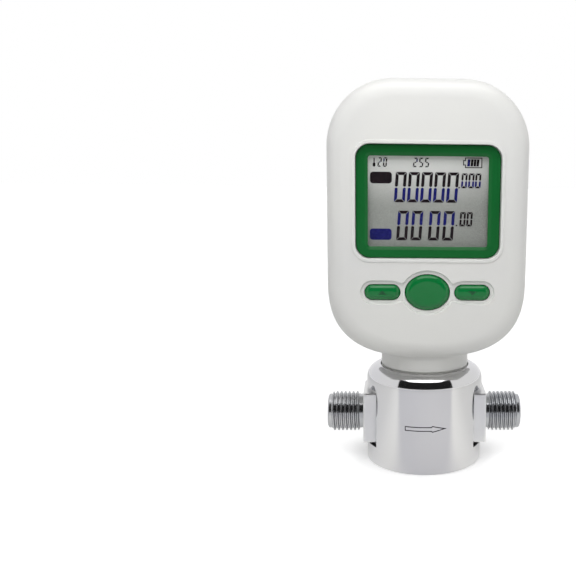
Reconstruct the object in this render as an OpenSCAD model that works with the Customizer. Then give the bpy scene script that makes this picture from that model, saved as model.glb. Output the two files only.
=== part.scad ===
// Thermal mass flow meter: a threaded flow block in a chrome cover, and a display head that turns on its neck.
// The flow runs to +X, the display faces -Y, and the base stands at z = 0.

/* [Flow block] */
// Width and height of the square flow block
block_w = 16.5; // [16:0.25:17.5]
// Height of the flow axis above the base
flow_z = 15; // [14:0.25:17]
// Length of block that shows past the cover at each end
block_proud = 1; // [0.4:0.1:3]
// Radius of the flow bore
bore_r = 4; // [3.4:0.1:4.2]
// Bevel along the edges of the block
block_bevel = 0.4; // [0.2:0.1:0.8]

/* [Ports] */
// Outside diameter of the pipe thread
thread_d = 13.157; // [12.8:0.001:14]
// Distance between thread crests
thread_spacing = 1.337; // [1.2:0.001:1.5]
// Depth of the thread
thread_depth = 0.856; // [0.7:0.001:0.95]
// Number of thread crests
thread_crests = 7; // [5:1:9]
// Length of the plain relief beside the block
relief_l = 1.2; // [0.8:0.1:2]
// Length of the plain tip past the thread
port_tip_l = 1.2; // [0.9:0.1:2]
// Bevel at the open end of a port
port_bevel = 0.5; // [0.3:0.1:0.8]
// Radius of the plug that enters the block
spigot_r = 5.2; // [5:0.05:5.5]
// Depth of the socket for the plug
socket_depth = 6; // [5:0.1:7]
// Thickness of the ring seal on the floor of the socket
port_seal_t = 0.8; // [0.5:0.1:1.2]
// Distance that the ring seal stays back from the bore
port_seal_back = 0.4; // [0.3:0.1:0.6]

/* [Flow elements] */
// Thickness of the inlet screen
screen_t = 0.8; // [0.5:0.1:1.2]
// Length of the laminar element
element_l = 6.4; // [5:0.1:7]
// Radius of the holes in the screen and the element
strainer_hole_r = 0.45; // [0.3:0.05:0.5]
// Distance between those holes
strainer_spacing = 1.25; // [1.2:0.05:1.35]

/* [Sensor] */
// Length of the sensor pocket along the flow
pocket_l = 11.2; // [10.8:0.1:11.6]
// Width of the sensor pocket
pocket_w = 9.6; // [8:0.1:10]
// Depth of the sensor pocket
pocket_depth = 3.6; // [3:0.1:3.9]
// Radius of the two gas taps between pocket and bore
tap_r = 0.8; // [0.5:0.1:0.9]
// Distance between the gas taps
tap_spacing = 8.4; // [8:0.1:8.8]
// Thickness of the flat seal under the sensor
sensor_seal_t = 0.8; // [0.5:0.1:1]
// Length of the sensor over its screw ears
sensor_ear_l = 16.4; // [16:0.1:17]
// Thickness of the screw ears
sensor_ear_t = 1.2; // [0.8:0.1:1.3]
// Distance between the two sensor screws
sensor_screw_spacing = 13.8; // [13.4:0.1:14]
// Radius of the sensor screws
sensor_screw_r = 0.6; // [0.4:0.05:0.7]
// Side of the square sensing chip
chip_w = 2.4; // [1.5:0.1:3]
// Thickness of the sensing chip
chip_t = 0.5; // [0.3:0.1:0.8]
// Thickness of the sensor's circuit board
sensor_board_t = 0.8; // [0.6:0.1:1]
// Length of the sensor's circuit board
sensor_board_l = 11.6; // [10:0.1:12]
// Height of the header on the sensor board
header_h = 1.8; // [1.2:0.1:2.2]

/* [Base plate] */
// Thickness of the base plate
base_plate_t = 3; // [2.4:0.1:4]
// Distance from the cover's inner wall to the mounting holes
mount_inset = 5.5; // [5:0.1:7]
// Radius of the mounting holes, the core of an M4 thread
mount_hole_r = 1.65; // [1.2:0.05:2]
// Depth of the mounting holes
mount_hole_depth = 5.5; // [4:0.1:6]
// Radius of the posts round the mounting holes
mount_post_r = 3.8; // [3:0.1:4.5]
// Distance between the two screws that hold the base plate
base_screw_spacing = 10; // [9:0.5:11]
// Radius of the base screws
base_screw_r = 1.25; // [0.9:0.05:1.4]
// Length of base screw inside the block
base_screw_grip = 3; // [2:0.1:3.5]

/* [Cover] */
// Outer radius of the cover
cover_r = 19; // [18.8:0.1:21]
// Thickness of the cover's wall
cover_wall = 1.5; // [1:0.1:1.6]
// Height of the cover above the flow block
cover_room = 8.25; // [8:0.25:9.5]
// Radius of the rounded shoulder
shoulder_r = 4.5; // [3.5:0.1:5]
// Gap beside the block in the cover's side slots
slot_gap_side = 2.5; // [1:0.1:3]
// Gap over the block in the side slots
slot_gap_top = 1.4; // [0.5:0.1:1.6]
// Gap under the block in the side slots
slot_gap_bottom = 0.7; // [0.4:0.1:1.5]
// Length of the flow arrow
arrow_l = 13.4; // [10:0.1:16]
// Height of the arrow's shaft
arrow_shaft_h = 1.7; // [1.2:0.1:1.8]
// Height of the arrow's head
arrow_head_h = 2.2; // [1.9:0.1:4]
// Length of the arrow's head
arrow_head_l = 5; // [3:0.1:6]
// Width of the line that draws the arrow
arrow_line = 0.3; // [0.2:0.05:0.5]
// Depth of that line
arrow_depth = 0.15; // [0.1:0.05:0.3]

/* [Swivel] */
// Gap between the neck and the cover's opening
neck_gap = 0.3; // [0.1:0.05:0.4]
// Height from the top of the cover to the lowest point of the head
neck_h = 5.4; // [4:0.1:7]
// Wall of the collar's tube inside the neck
collar_wall = 2.9; // [2.4:0.1:3.2]
// Distance that the flange reaches past the neck
flange_reach = 2.6; // [2.2:0.1:2.8]
// Thickness of the flange
flange_t = 1.2; // [1:0.1:1.3]
// Thickness of the plate that the flange turns on
swivel_plate_t = 1.5; // [1.2:0.1:1.6]
// Thickness of the thrust washer
washer_t = 0.8; // [0.5:0.1:0.9]
// Running gap of the swivel
run_gap = 0.25; // [0.1:0.05:0.3]
// Height of the bush round the neck
bush_h = 2; // [1:0.1:2.2]
// Width of the bush
bush_w = 1.1; // [0.8:0.1:1.3]
// Radius of the stop pin
stop_pin_r = 0.7; // [0.5:0.05:0.8]
// Distance from the flange's edge in to the stop pin
stop_inset = 4.8; // [4.6:0.1:5]
// Turn of the head to each side, in degrees
swivel_limit = 90; // [45:5:120]

/* [Head] */
// Width of the head
head_w = 61; // [60:0.5:66]
// Height of the head above the green frame
crown_h = 19.45; // [19:0.05:24]
// Depth of the head from face to back
head_d = 38; // [37:0.5:42]
// Radius of the top corners
corner_r = 20; // [16:0.5:20]
// Height of the curved chin
chin_h = 25; // [24:0.5:27]
// Fullness of the chin's curve, where 2 is an ellipse
chin_share = 2.7; // [2.4:0.1:3]
// Radius that rounds the edges of the face and the back
edge_r = 6; // [4:0.2:6]
// Wall of the two shells
shell_wall = 2.2; // [1.8:0.1:2.4]
// Half the gap of the seam between the shells
seam_gap = 0.2; // [0.1:0.05:0.3]
// Width of the seal in the seam
gasket_w = 1; // [0.6:0.1:1.2]

/* [Display] */
// Distance from the head's side to the green frame
frame_margin = 8.9; // [8.4:0.1:9.5]
// Height of the green frame
frame_h = 33.7; // [32:0.1:34.5]
// Corner radius of the green frame
frame_corner_r = 4.2; // [2:0.1:6]
// Depth of the green frame below the face
frame_depth = 1.8; // [1:0.1:2.2]
// Thickness of the green frame
frame_t = 1.9; // [1.6:0.1:2.4]
// Width of the frame's two sides
frame_side_w = 3.85; // [3.5:0.05:4.4]
// Height of the frame's two rails
frame_rail_h = 3.55; // [3.2:0.05:4]
// Width of the case's raised lip round the frame
frame_lip_w = 1.25; // [0.8:0.05:1.4]
// Height of that lip
frame_lip_h = 0.3; // [0.2:0.05:0.4]
// Corner radius of the screen
screen_corner_r = 0.8; // [0.4:0.1:2]
// Distance from the centre key to the green frame
display_gap = 4.95; // [4:0.05:6]
// Thickness of the window
window_t = 1.2; // [0.8:0.1:1.4]
// Thickness of the display module
lcd_t = 2.8; // [2:0.1:3]

/* [Keys] */
// Height of the keys above the chin
keys_up = 21.1; // [20:0.1:21.6]
// Distance from the centre key to each side key
key_spacing = 13.6; // [13.2:0.1:14]
// Width of the centre key
key_centre_w = 13.4; // [12:0.1:13.8]
// Height of the centre key
key_centre_h = 10.8; // [9:0.1:11.2]
// Width of a side key
key_side_w = 10.6; // [9:0.1:10.8]
// Height of a side key
key_side_h = 4.6; // [3.8:0.1:5.4]
// Distance that the recess reaches past the keys
recess_margin = 1.35; // [0.8:0.05:1.6]
// Depth of the recess
recess_depth = 0.8; // [0.5:0.1:1]
// Gap round each key
key_gap = 0.2; // [0.1:0.05:0.3]
// Height of a key above the floor of the recess
key_proud = 1; // [0.6:0.1:1.2]
// Travel of a key
key_travel = 0.8; // [0.5:0.1:1]
// Radius of a key's stem
key_stem_r = 1.4; // [1:0.1:1.6]

/* [Boards] */
// Distance from the head's side to the main board
board_margin = 4.5; // [4:0.1:5.5]
// Thickness of the main board
board_t = 1.6; // [1.2:0.1:2]
// Distance from the shell's inner face to the main board
board_depth = 6.3; // [6:0.1:7]
// Radius of the posts that carry the main board
board_post_r = 2; // [1.6:0.1:2.2]
// Side of a key switch
switch_w = 6; // [5:0.1:6.4]
// Height of a key switch
switch_h = 2.9; // [2.6:0.1:3.1]

/* [Batteries] */
// Number of battery cells
cell_count = 4; // [3:1:4]
// Diameter of a cell
cell_d = 10.5; // [10:0.1:10.7]
// Distance from the head's side to the battery tray
tray_margin = 5.55; // [5.3:0.05:6.3]
// Space for the contacts at each end of the cells
contact_room = 1.5; // [1:0.1:1.8]
// Wall of the battery tray
tray_wall = 1.2; // [0.8:0.1:1.3]
// Height of the batteries' centre above the chin
tray_up = 43; // [42.6:0.1:43.6]
// Thickness of the door's outer plate
door_t = 1.4; // [1:0.1:1.6]
// Margin of the door round the battery opening
door_margin = 0.65; // [0.4:0.05:0.7]
// Distance the door lifts off
door_lift = 15; // [10:1:25]

/* [Cable] */
// Radius of the cable to the sensor
cable_r = 1.5; // [1:0.1:1.7]
// Length of straight cable in front of its socket
cable_lead = 0.9; // [0.5:0.1:1.4]
// Height from the plug to the cable's socket
cable_rise = 18; // [16:0.5:20]

/* [Hidden] */
$fn = 72;

overrun = 1;
fit_gap = 0.1;
press_gap = 0.03;
arc_steps = 8;
left_side = -1;
right_side = 1;
sides = [left_side, right_side];

// Heights of the base, from the floor up
block_bottom = flow_z - block_w / 2;
block_top = flow_z + block_w / 2;
block_half = cover_r + block_proud;
cover_h = block_top + cover_room;
cover_inner_r = cover_r - cover_wall;
mount_spacing = 2 * (cover_inner_r - mount_inset);
swivel_plate_r = cover_inner_r - fit_gap;
washer_z = block_top + swivel_plate_t;
flange_z = washer_z + washer_t + run_gap;
flange_top = flange_z + flange_t;
chin_z = cover_h + neck_h;

// Neck of the shells, the collar inside it and the stop, from the cover's opening inwards
neck_hole_r = cover_r - shoulder_r;
neck_r = neck_hole_r - neck_gap;
flange_r = neck_r + flange_reach;
collar_seat_r = neck_r - shell_wall;
collar_r = collar_seat_r - fit_gap;
collar_bore_r = collar_r - collar_wall;
collar_reach = 3.9;
collar_top = chin_z + collar_reach;
lip_rise = 0.7;
lip_z = chin_z + lip_rise;
lip_h = 1.6;
lip_reach = 0.9;
lip_r = collar_seat_r - lip_reach;
neck_foot_z = flange_top + fit_gap;
neck_top = chin_z + 3 * shell_wall;
stop_circle_r = flange_r - stop_inset;
stop_clear = 0.2;
stop_land = 1.1;
stop_shortfall = 0.3;
swivel_plate_bore_r = stop_circle_r - stop_pin_r - stop_land;
washer_clear = 0.5;
washer_inner_r = stop_circle_r + stop_pin_r + washer_clear;

// Ports, measured outwards along the flow axis
port_l = relief_l + thread_crests * thread_spacing + port_tip_l;
port_end = block_half + port_l;
thread_crest_r = thread_d / 2;
thread_root_r = thread_crest_r - thread_depth;
flank_foot_share = 0.08;
flank_top_share = 0.42;
socket_r = spigot_r + press_gap;
screen_set_back = 0.6;
screen_x = block_half - socket_depth - screen_t - screen_set_back;
strainer_r = bore_r - press_gap;

// Sensor stack on the block
pocket_floor = block_top - pocket_depth;
ear_top = block_top + sensor_ear_t;
header_z = ear_top + sensor_board_t;
chip_gap = 0.4;
tap_rise = 1;
header_w = 6;
header_d = 4;
plug_h = 2.4;
plug_z = header_z + header_h;
cable_start = plug_z + plug_h;
sensor_screw_hole = 2.5;
sensor_screw_grip = 2.2;
sensor_screw_head_r = 1.1;
sensor_screw_head_h = 0.6;

// Base plate fixings
base_post_r = 2.4;
base_head_r = 2.5;
base_head_h = 1.6;
base_head_inset = 0.2;
plate_screw_inset = 4;
plate_screw_x = swivel_plate_r - plate_screw_inset;
plate_screw_y = 5.2;
plate_screw_r = 1;
plate_screw_head_r = 1.7;
plate_screw_head_h = 0.9;
plate_screw_grip = 3.2;

// Head outline
head_half = head_w / 2;
half_d = head_d / 2;
keys_z = chin_z + keys_up;
frame_bottom_z = keys_z + key_centre_h / 2 + display_gap;
display_z = frame_bottom_z + frame_h / 2;
frame_top_z = frame_bottom_z + frame_h;
head_top = frame_top_z + crown_h;
chin_centre_z = chin_z + chin_h;
corner_x = head_half - corner_r;
corner_z = head_top - corner_r;
chin_steps = 16;
corner_steps = 12;
edge_steps = 5;
inner_edge_steps = 4;
inner_edge_r = edge_r - shell_wall;

// Depths in the head, from the face back
face_y = -half_d;
wall_y = face_y + shell_wall;
frame_y = face_y + frame_depth;
frame_back_y = frame_y + frame_t;
frame_w = head_w - 2 * frame_margin;
screen_w = frame_w - 2 * frame_side_w;
screen_h = frame_h - 2 * frame_rail_h;
frame_flange = 1.6;
frame_flange_t = 1.2;
frame_rim = 2;
window_seat = 1.2;
window_lip = 1.1;
lcd_y = frame_back_y + frame_flange_t;
lcd_back_y = lcd_y + lcd_t;
board_y = wall_y + board_depth;
board_back_y = board_y + board_t;
recess_y = face_y + recess_depth;

// Main board and its posts
board_w = head_w - 2 * board_margin;
board_below_keys = 6;
board_bottom = keys_z - board_below_keys;
board_above_frame = 6.35;
board_top = frame_top_z + board_above_frame;
board_corner_r = 3;
post_inset = 2.5;
post_x = board_w / 2 - post_inset;
lower_post_up = 3;
lower_post_z = keys_z + lower_post_up;
upper_post_z = board_top - post_inset;
upper_post_inset = 4;
upper_post_x = board_w / 2 - upper_post_inset;
board_screw_r = 0.8;
board_screw_head_r = 1.6;
board_screw_head_h = 1.2;
board_screw_grip = 4;
board_posts = [[-post_x, lower_post_z], [post_x, lower_post_z], [-upper_post_x, upper_post_z],
    [upper_post_x, upper_post_z]];
strip_w = 34;
strip_h = 2;
chip_shares = [[-0.2, 0.12, 0.19, 0.19, 0.031], [0.24, 0.2, 0.115, 0.096, 0.027],
    [0.24, -0.08, 0.096, 0.077, 0.031], [-0.28, -0.22, 0.173, 0.173, 0.046]];
socket_h = 2;
socket_side = 5;
socket_z = cable_start + cable_rise;
socket_y = board_back_y + socket_h;
cable_bend_r = -socket_y - cable_lead;

// Shell screws
boss_r = 3;
boss_bore_r = 1;
screw_head_r = 2.2;
screw_head_h = 1.8;
screw_well = 5;
screw_shank_r = 1.25;
screw_pass_r = 1.4;
screw_grip = 8;
top_boss_out = 3.5;
top_boss_drop = 9;
low_boss_inset = 13;
low_boss_up = 11.6;
top_boss_x = corner_x + top_boss_out;
top_boss_z = head_top - top_boss_drop;
low_boss_x = head_half - low_boss_inset;
low_boss_z = chin_z + low_boss_up;
bosses = [[-low_boss_x, low_boss_z], [low_boss_x, low_boss_z], [-top_boss_x, top_boss_z],
    [top_boss_x, top_boss_z]];

// Batteries, with the door at the back
cell_gap = 0.3;
cell_spacing = cell_d + cell_gap;
tray_z = chin_z + tray_up;
tray_outer_w = head_w - 2 * tray_margin;
tray_inner_w = tray_outer_w - 2 * tray_wall;
cell_l = tray_inner_w - 2 * contact_room;
tray_inner_h = cell_count * cell_spacing + cell_gap;
tray_outer_h = tray_inner_h + 2 * tray_wall;
back_wall_y = half_d - shell_wall;
tray_end_gap = 0.3;
tray_end_y = back_wall_y - tray_end_gap;
cell_back_gap = 0.4;
cell_y = back_wall_y - cell_back_gap - cell_d / 2;
tray_floor_y = cell_y - cell_d / 2 - fit_gap;
tray_start_y = tray_floor_y - tray_wall;
door_w = tray_inner_w + 2 * door_margin;
door_h = tray_inner_h + 2 * door_margin;
door_corner_r = 2.5;
door_gap = 0.15;
contact_t = 0.3;
contact_w = 7;
nub_r = 1.9;
nub_l = 0.8;
lead_r = 0.7;
lead_x = 15;
lead_up = 4;
lead_z = tray_z - tray_outer_h / 2 + lead_up;
grip_w = 12;
grip_h = 1.2;
grip_spacing = 2.4;

// Keys
key_dome_shares = [[0, 0.45], [0.35, 0.12], [0.9, 0]];
key_skin = 0.2;
key_skirt = 0.5;
key_tab_t = 1;
key_tab_reach = 1;
key_tab_share = 0.7;
stem_sink = 0.6;

steel = "lightgrey";
chrome = "silver";
white = "whitesmoke";
green = [0.08, 0.38, 0.19];

function arc_points(x, y, r, from, to, steps) =
    [for (i = [0:steps]) let (a = from + (to - from) * i / steps) [x + r * cos(a), y + r * sin(a)]];

// Chin curve at angle a from the bottom centre, drawn in by d
function chin_point(a, d, side) =
    [side * (head_half - d) * pow(sin(a), 2 / chin_share),
        chin_centre_z - (chin_h - d) * pow(cos(a), 2 / chin_share)];

// Whole outline of the head as seen from the front, drawn in by d
function head_outline(d) = concat(
    [for (i = [0:chin_steps]) chin_point(90 * i / chin_steps, d, right_side)],
    arc_points(corner_x, corner_z, corner_r - d, 0, 90, corner_steps),
    arc_points(-corner_x, corner_z, corner_r - d, 90, 180, corner_steps),
    [for (i = [chin_steps:-1:1]) chin_point(90 * i / chin_steps, d, left_side)]);

// Rings of one shell as [depth, draw-in]: outside from the face to the seam, then inside back to the face
function shell_rings() = concat(
    [for (i = [0:edge_steps]) let (a = 90 * i / edge_steps)
        [half_d - edge_r + edge_r * cos(a), edge_r - edge_r * sin(a)]],
    [[seam_gap, 0], [seam_gap, shell_wall]],
    [for (i = [inner_edge_steps:-1:0]) let (a = 90 * i / inner_edge_steps)
        [half_d - edge_r + inner_edge_r * cos(a), shell_wall + inner_edge_r - inner_edge_r * sin(a)]]);

function pill_points(w, h) = concat(
    arc_points((w - h) / 2, 0, h / 2, -90, 90, arc_steps),
        arc_points((h - w) / 2, 0, h / 2, 90, 270, arc_steps));

function oval_points(w, h) =
    [for (i = [0:4 * arc_steps - 1]) let (a = 90 * i / arc_steps) [w / 2 * cos(a), h / 2 * sin(a)]];

// Carries a flat shape drawn in X and Z to the space between two depths
module between(y_front, y_back) {
    translate([0, y_back, 0]) rotate([90, 0, 0]) linear_extrude(y_back - y_front) children();
}

module slab(w, h, r) {
    hull() for (x = sides, z = sides) translate([x * (w / 2 - r), z * (h / 2 - r)]) circle(r, $fn = 32);
}

// Turns a shape made along Z to run outwards along the flow axis
module port_side(side) {
    translate([0, 0, flow_z]) rotate([0, 90 * side, 0]) children();
}

module tube(r_out, r_in, h) {
    difference() {
        cylinder(r = r_out, h = h);
        translate([0, 0, -overrun]) cylinder(r = r_in, h = h + 2 * overrun);
    }
}

module rod_y(r, y_front, y_back) {
    translate([0, y_back, 0]) rotate([90, 0, 0]) cylinder(r = r, h = y_back - y_front);
}

module brick(w, d, h) {
    translate([-w / 2, -d / 2, 0]) cube([w, d, h]);
}

module arrow_shape(inset) {
    tail = -arrow_l / 2 + inset;
    neck = arrow_l / 2 - arrow_head_l + inset;
    tip = arrow_l / 2 - 2 * inset;
    polygon([[tail, -arrow_shaft_h / 2 + inset], [neck, -arrow_shaft_h / 2 + inset],
        [neck, -arrow_head_h / 2 + inset],
        [tip, 0], [neck, arrow_head_h / 2 - inset], [neck, arrow_shaft_h / 2 - inset],
        [tail, arrow_shaft_h / 2 - inset]]);
}

module base_cover() {
    slot_w = block_w + 2 * slot_gap_side;
    slot_h = block_w + slot_gap_top + slot_gap_bottom;
    inner_shoulder = shoulder_r - cover_wall;
    color(chrome) difference() {
        rotate_extrude() polygon(concat([[cover_inner_r, 0], [cover_r, 0]],
            arc_points(neck_hole_r, cover_h - shoulder_r, shoulder_r, 0, 90, arc_steps),
            [[neck_hole_r, cover_h], [neck_hole_r, cover_h - cover_wall]],
            arc_points(neck_hole_r, cover_h - shoulder_r, inner_shoulder, 90, 0, arc_steps)));
        translate([0, 0, block_bottom - slot_gap_bottom]) brick(2 * cover_r + 2 * overrun, slot_w, slot_h);
        translate([0, 0, flow_z]) intersection() {
            between(-cover_r - overrun, 0) difference() {
                arrow_shape(0);
                arrow_shape(arrow_line);
            }
            translate([0, 0, -arrow_head_h])
                tube(cover_r + overrun, cover_r - arrow_depth, 2 * arrow_head_h);
        }
    }
}

module base_plate() {
    post_h = block_bottom - base_plate_t;
    color(steel) difference() {
        union() {
            cylinder(r = cover_inner_r - press_gap, h = base_plate_t);
            for (x = sides) translate([x * mount_spacing / 2, 0, 0])
                cylinder(r = mount_post_r, h = base_plate_t + post_h);
            for (y = sides) translate([0, y * base_screw_spacing / 2, 0])
                cylinder(r = base_post_r, h = base_plate_t + post_h);
        }
        for (x = sides) translate([x * mount_spacing / 2, 0, -overrun])
            cylinder(r = mount_hole_r, h = mount_hole_depth + overrun);
        for (y = sides) translate([0, y * base_screw_spacing / 2, -overrun]) {
            cylinder(r = base_screw_r + fit_gap, h = block_bottom + 2 * overrun);
            cylinder(r = base_head_r + fit_gap, h = base_head_h + base_head_inset + overrun);
        }
    }
}

module base_screws() {
    color(steel) for (y = sides) translate([0, y * base_screw_spacing / 2, 0]) {
        translate([0, 0, base_head_inset]) cylinder(r = base_head_r, h = base_head_h);
        translate([0, 0, base_head_h])
            cylinder(r = base_screw_r, h = block_bottom + base_screw_grip - base_head_h);
    }
}

module flow_block() {
    half = block_w / 2;
    color(steel) difference() {
        port_side(right_side) translate([0, 0, -block_half]) linear_extrude(2 * block_half)
            polygon([[-half, -half + block_bevel], [-half + block_bevel, -half],
                [half - block_bevel, -half],
                [half, -half + block_bevel], [half, half - block_bevel], [half - block_bevel, half],
                [-half + block_bevel, half], [-half, half - block_bevel]]);
        port_side(right_side) translate([0, 0, -block_half]) cylinder(r = bore_r, h = 2 * block_half);
        for (side = sides) port_side(side) translate([0, 0, block_half - socket_depth])
            cylinder(r = socket_r, h = socket_depth + overrun);
        translate([0, 0, pocket_floor]) brick(pocket_l, pocket_w, pocket_depth + overrun);
        for (x = sides) translate([x * tap_spacing / 2, 0, flow_z]) cylinder(r = tap_r, h = block_w / 2);
        for (x = sides) translate([x * sensor_screw_spacing / 2, 0, block_top - sensor_screw_hole])
            cylinder(r = sensor_screw_r + press_gap, h = sensor_screw_hole + overrun);
        for (x = sides, y = sides)
            translate([x * plate_screw_x, y * plate_screw_y, block_top - plate_screw_grip])
            cylinder(r = plate_screw_r + press_gap, h = plate_screw_grip + overrun);
        for (y = sides) translate([0, y * base_screw_spacing / 2, block_bottom - overrun])
            cylinder(r = base_screw_r + press_gap, h = base_screw_grip + overrun + fit_gap);
    }
}

module port_fitting(side) {
    seat = block_half - socket_depth + port_seal_t;
    start = block_half + relief_l;
    relief_r = thread_root_r - fit_gap;
    shares = [flank_foot_share, flank_top_share, 1 - flank_top_share, 1 - flank_foot_share];
    crest = [for (k = [0:thread_crests - 1], share = shares) [abs(share - 1 / 2) < 1 / 4 ? thread_crest_r : thread_root_r,
        start + (k + share) * thread_spacing]];
    color(steel) port_side(side) rotate_extrude() polygon(concat(
        [[bore_r, seat], [spigot_r, seat], [spigot_r, block_half], [relief_r, block_half],
            [relief_r, start]], crest,
        [[relief_r, port_end - port_bevel], [relief_r - port_bevel, port_end], [bore_r, port_end]]));
}

module inlet_fitting() {
    port_fitting(left_side);
}

module outlet_fitting() {
    port_fitting(right_side);
}

module port_seals() {
    color("black") for (side = sides) port_side(side) translate([0, 0, block_half - socket_depth])
        tube(spigot_r, bore_r + port_seal_back, port_seal_t);
}

// A disc of holes: one in the middle and two rings round it
module strainer(l) {
    rings = [[0, 1], [1, 6], [2, 12]];
    difference() {
        cylinder(r = strainer_r, h = l);
        for (ring = rings, i = [0:ring[1] - 1]) rotate([0, 0, 360 * i / ring[1]])
            translate([ring[0] * strainer_spacing, 0, -overrun])
                cylinder(r = strainer_hole_r, h = l + 2 * overrun, $fn = 16);
    }
}

module inlet_screen() {
    color("grey") port_side(left_side) translate([0, 0, screen_x]) strainer(screen_t);
}

module laminar_element() {
    color("grey") port_side(right_side) translate([0, 0, -element_l / 2]) strainer(element_l);
}

module sensor_seal() {
    color("black") difference() {
        translate([0, 0, pocket_floor])
            brick(pocket_l - 2 * fit_gap, pocket_w - 2 * fit_gap, sensor_seal_t);
        for (x = sides) translate([x * tap_spacing / 2, 0, pocket_floor - overrun])
            cylinder(r = tap_r, h = sensor_seal_t + 2 * overrun);
    }
}

module sensor_body() {
    start = pocket_floor + sensor_seal_t;
    hollow = chip_t + chip_gap;
    color("dimgrey") difference() {
        union() {
            translate([0, 0, start])
                brick(pocket_l - 2 * fit_gap, pocket_w - 2 * fit_gap, block_top - start);
            translate([0, 0, block_top]) brick(sensor_ear_l, pocket_w - 2 * fit_gap, sensor_ear_t);
        }
        translate([0, 0, start - overrun])
            brick(chip_w + 2 * fit_gap, chip_w + 2 * fit_gap, hollow + overrun);
        for (x = sides) translate([x * tap_spacing / 2, 0, start - overrun])
            cylinder(r = tap_r, h = tap_rise + overrun);
        for (x = sides) translate([x * sensor_screw_spacing / 2, 0, block_top - overrun])
            cylinder(r = sensor_screw_r + fit_gap, h = sensor_ear_t + 2 * overrun);
    }
}

module sensor_chip() {
    color("black") translate([0, 0, pocket_floor + sensor_seal_t + chip_gap]) brick(chip_w, chip_w, chip_t);
}

module sensor_screws() {
    color(steel) for (x = sides) translate([x * sensor_screw_spacing / 2, 0, 0]) {
        translate([0, 0, block_top - sensor_screw_grip])
            cylinder(r = sensor_screw_r, h = sensor_screw_grip + sensor_ear_t);
        translate([0, 0, ear_top]) cylinder(r = sensor_screw_head_r, h = sensor_screw_head_h);
    }
}

module sensor_board() {
    color("darkgreen") translate([0, 0, ear_top])
        brick(sensor_board_l, pocket_w - 2 * fit_gap, sensor_board_t);
}

module sensor_header() {
    color("ivory") translate([0, 0, header_z]) brick(header_w, header_d, header_h);
}

module sensor_plug() {
    color("ivory") translate([0, 0, plug_z]) brick(header_w - 2 * fit_gap, header_d - 2 * fit_gap, plug_h);
}

module swivel_plate() {
    color(steel) difference() {
        translate([0, 0, block_top]) tube(swivel_plate_r, swivel_plate_bore_r, swivel_plate_t);
        for (x = sides, y = sides) translate([x * plate_screw_x, y * plate_screw_y, 0]) {
            translate([0, 0, block_top - overrun])
                cylinder(r = plate_screw_r + fit_gap, h = swivel_plate_t + 2 * overrun);
            translate([0, 0, washer_z - plate_screw_head_h])
                cylinder(r = plate_screw_head_r + fit_gap, h = washer_t);
        }
        translate([0, stop_circle_r, block_top - overrun])
            cylinder(r = stop_pin_r, h = swivel_plate_t + 2 * overrun);
        translate([0, 0, block_top - overrun])
            brick(sensor_ear_l + 2 * fit_gap, pocket_w + 2 * fit_gap, swivel_plate_t + 2 * overrun);
    }
}

module swivel_plate_screws() {
    color(steel) for (x = sides, y = sides) translate([x * plate_screw_x, y * plate_screw_y, 0]) {
        translate([0, 0, block_top - plate_screw_grip + fit_gap])
            cylinder(r = plate_screw_r, h = plate_screw_grip + swivel_plate_t - 2 * fit_gap);
        translate([0, 0, washer_z - plate_screw_head_h])
            cylinder(r = plate_screw_head_r, h = plate_screw_head_h - fit_gap);
    }
}

module stop_pin() {
    color(steel) translate([0, stop_circle_r, block_top])
        cylinder(r = stop_pin_r, h = flange_top - stop_shortfall - block_top);
}

module thrust_washer() {
    color("ivory") translate([0, 0, washer_z]) tube(flange_r - fit_gap, washer_inner_r, washer_t);
}

module neck_bush() {
    color("dimgrey") translate([0, 0, flange_top + run_gap])
        tube(neck_hole_r + bush_w, neck_r + fit_gap, bush_h);
}

module neck_collar() {
    groove = lip_r - fit_gap;
    stop_half = stop_pin_r + stop_clear;
    stop_turn = swivel_limit + asin(stop_half / stop_circle_r);
    color(white) difference() {
        rotate_extrude() polygon([[collar_bore_r, flange_z], [flange_r, flange_z], [flange_r, flange_top],
            [collar_r, flange_top], [collar_r, lip_z - fit_gap], [groove, lip_z - fit_gap],
            [groove, lip_z + lip_h + fit_gap], [collar_r, lip_z + lip_h + fit_gap],
            [collar_r, collar_top], [collar_bore_r, collar_top]]);
        translate([0, 0, flange_z - overrun]) rotate([0, 0, 90 - stop_turn])
            rotate_extrude(angle = 2 * stop_turn)
            translate([stop_circle_r - stop_half, 0]) square([2 * stop_half, flange_t + overrun]);
    }
}

// One bowed shell as a closed surface, with its face to +Y
module bowl() {
    rings = shell_rings();
    count = len(head_outline(0));
    last = (len(rings) - 1) * count;
    points = [for (ring = rings) for (p = head_outline(ring[1])) [p[0], ring[0], p[1]]];
    walls = [for (k = [0:len(rings) - 2], i = [0:count - 1]) let (j = (i + 1) % count)
        [k * count + j, k * count + i, (k + 1) * count + i, (k + 1) * count + j]];
    polyhedron(points, concat([[for (i = [0:count - 1]) i], [for (i = [count - 1:-1:0]) last + i]], walls));
}

module half_ring(r_out, r_in, z, h) {
    difference() {
        translate([0, 0, z]) tube(r_out, r_in, h);
        translate([0, -r_out - overrun + seam_gap, z - overrun])
            brick(2 * r_out + 2 * overrun, 2 * r_out + 2 * overrun, h + 2 * overrun);
    }
}

// What both shells share: the bowl, the half neck, the lip for the collar and the four bosses
module shell_body() {
    difference() {
        union() {
            bowl();
            half_ring(neck_r, collar_seat_r, neck_foot_z, neck_top - neck_foot_z);
        }
        translate([0, 0, chin_z - overrun]) cylinder(r = collar_seat_r, h = collar_reach + 2 * overrun);
    }
    half_ring(collar_seat_r + shell_wall / 2, lip_r, lip_z, lip_h);
    for (at = bosses) translate([at[0], 0, at[1]]) rod_y(boss_r, seam_gap, half_d - shell_wall / 2);
}

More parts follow.
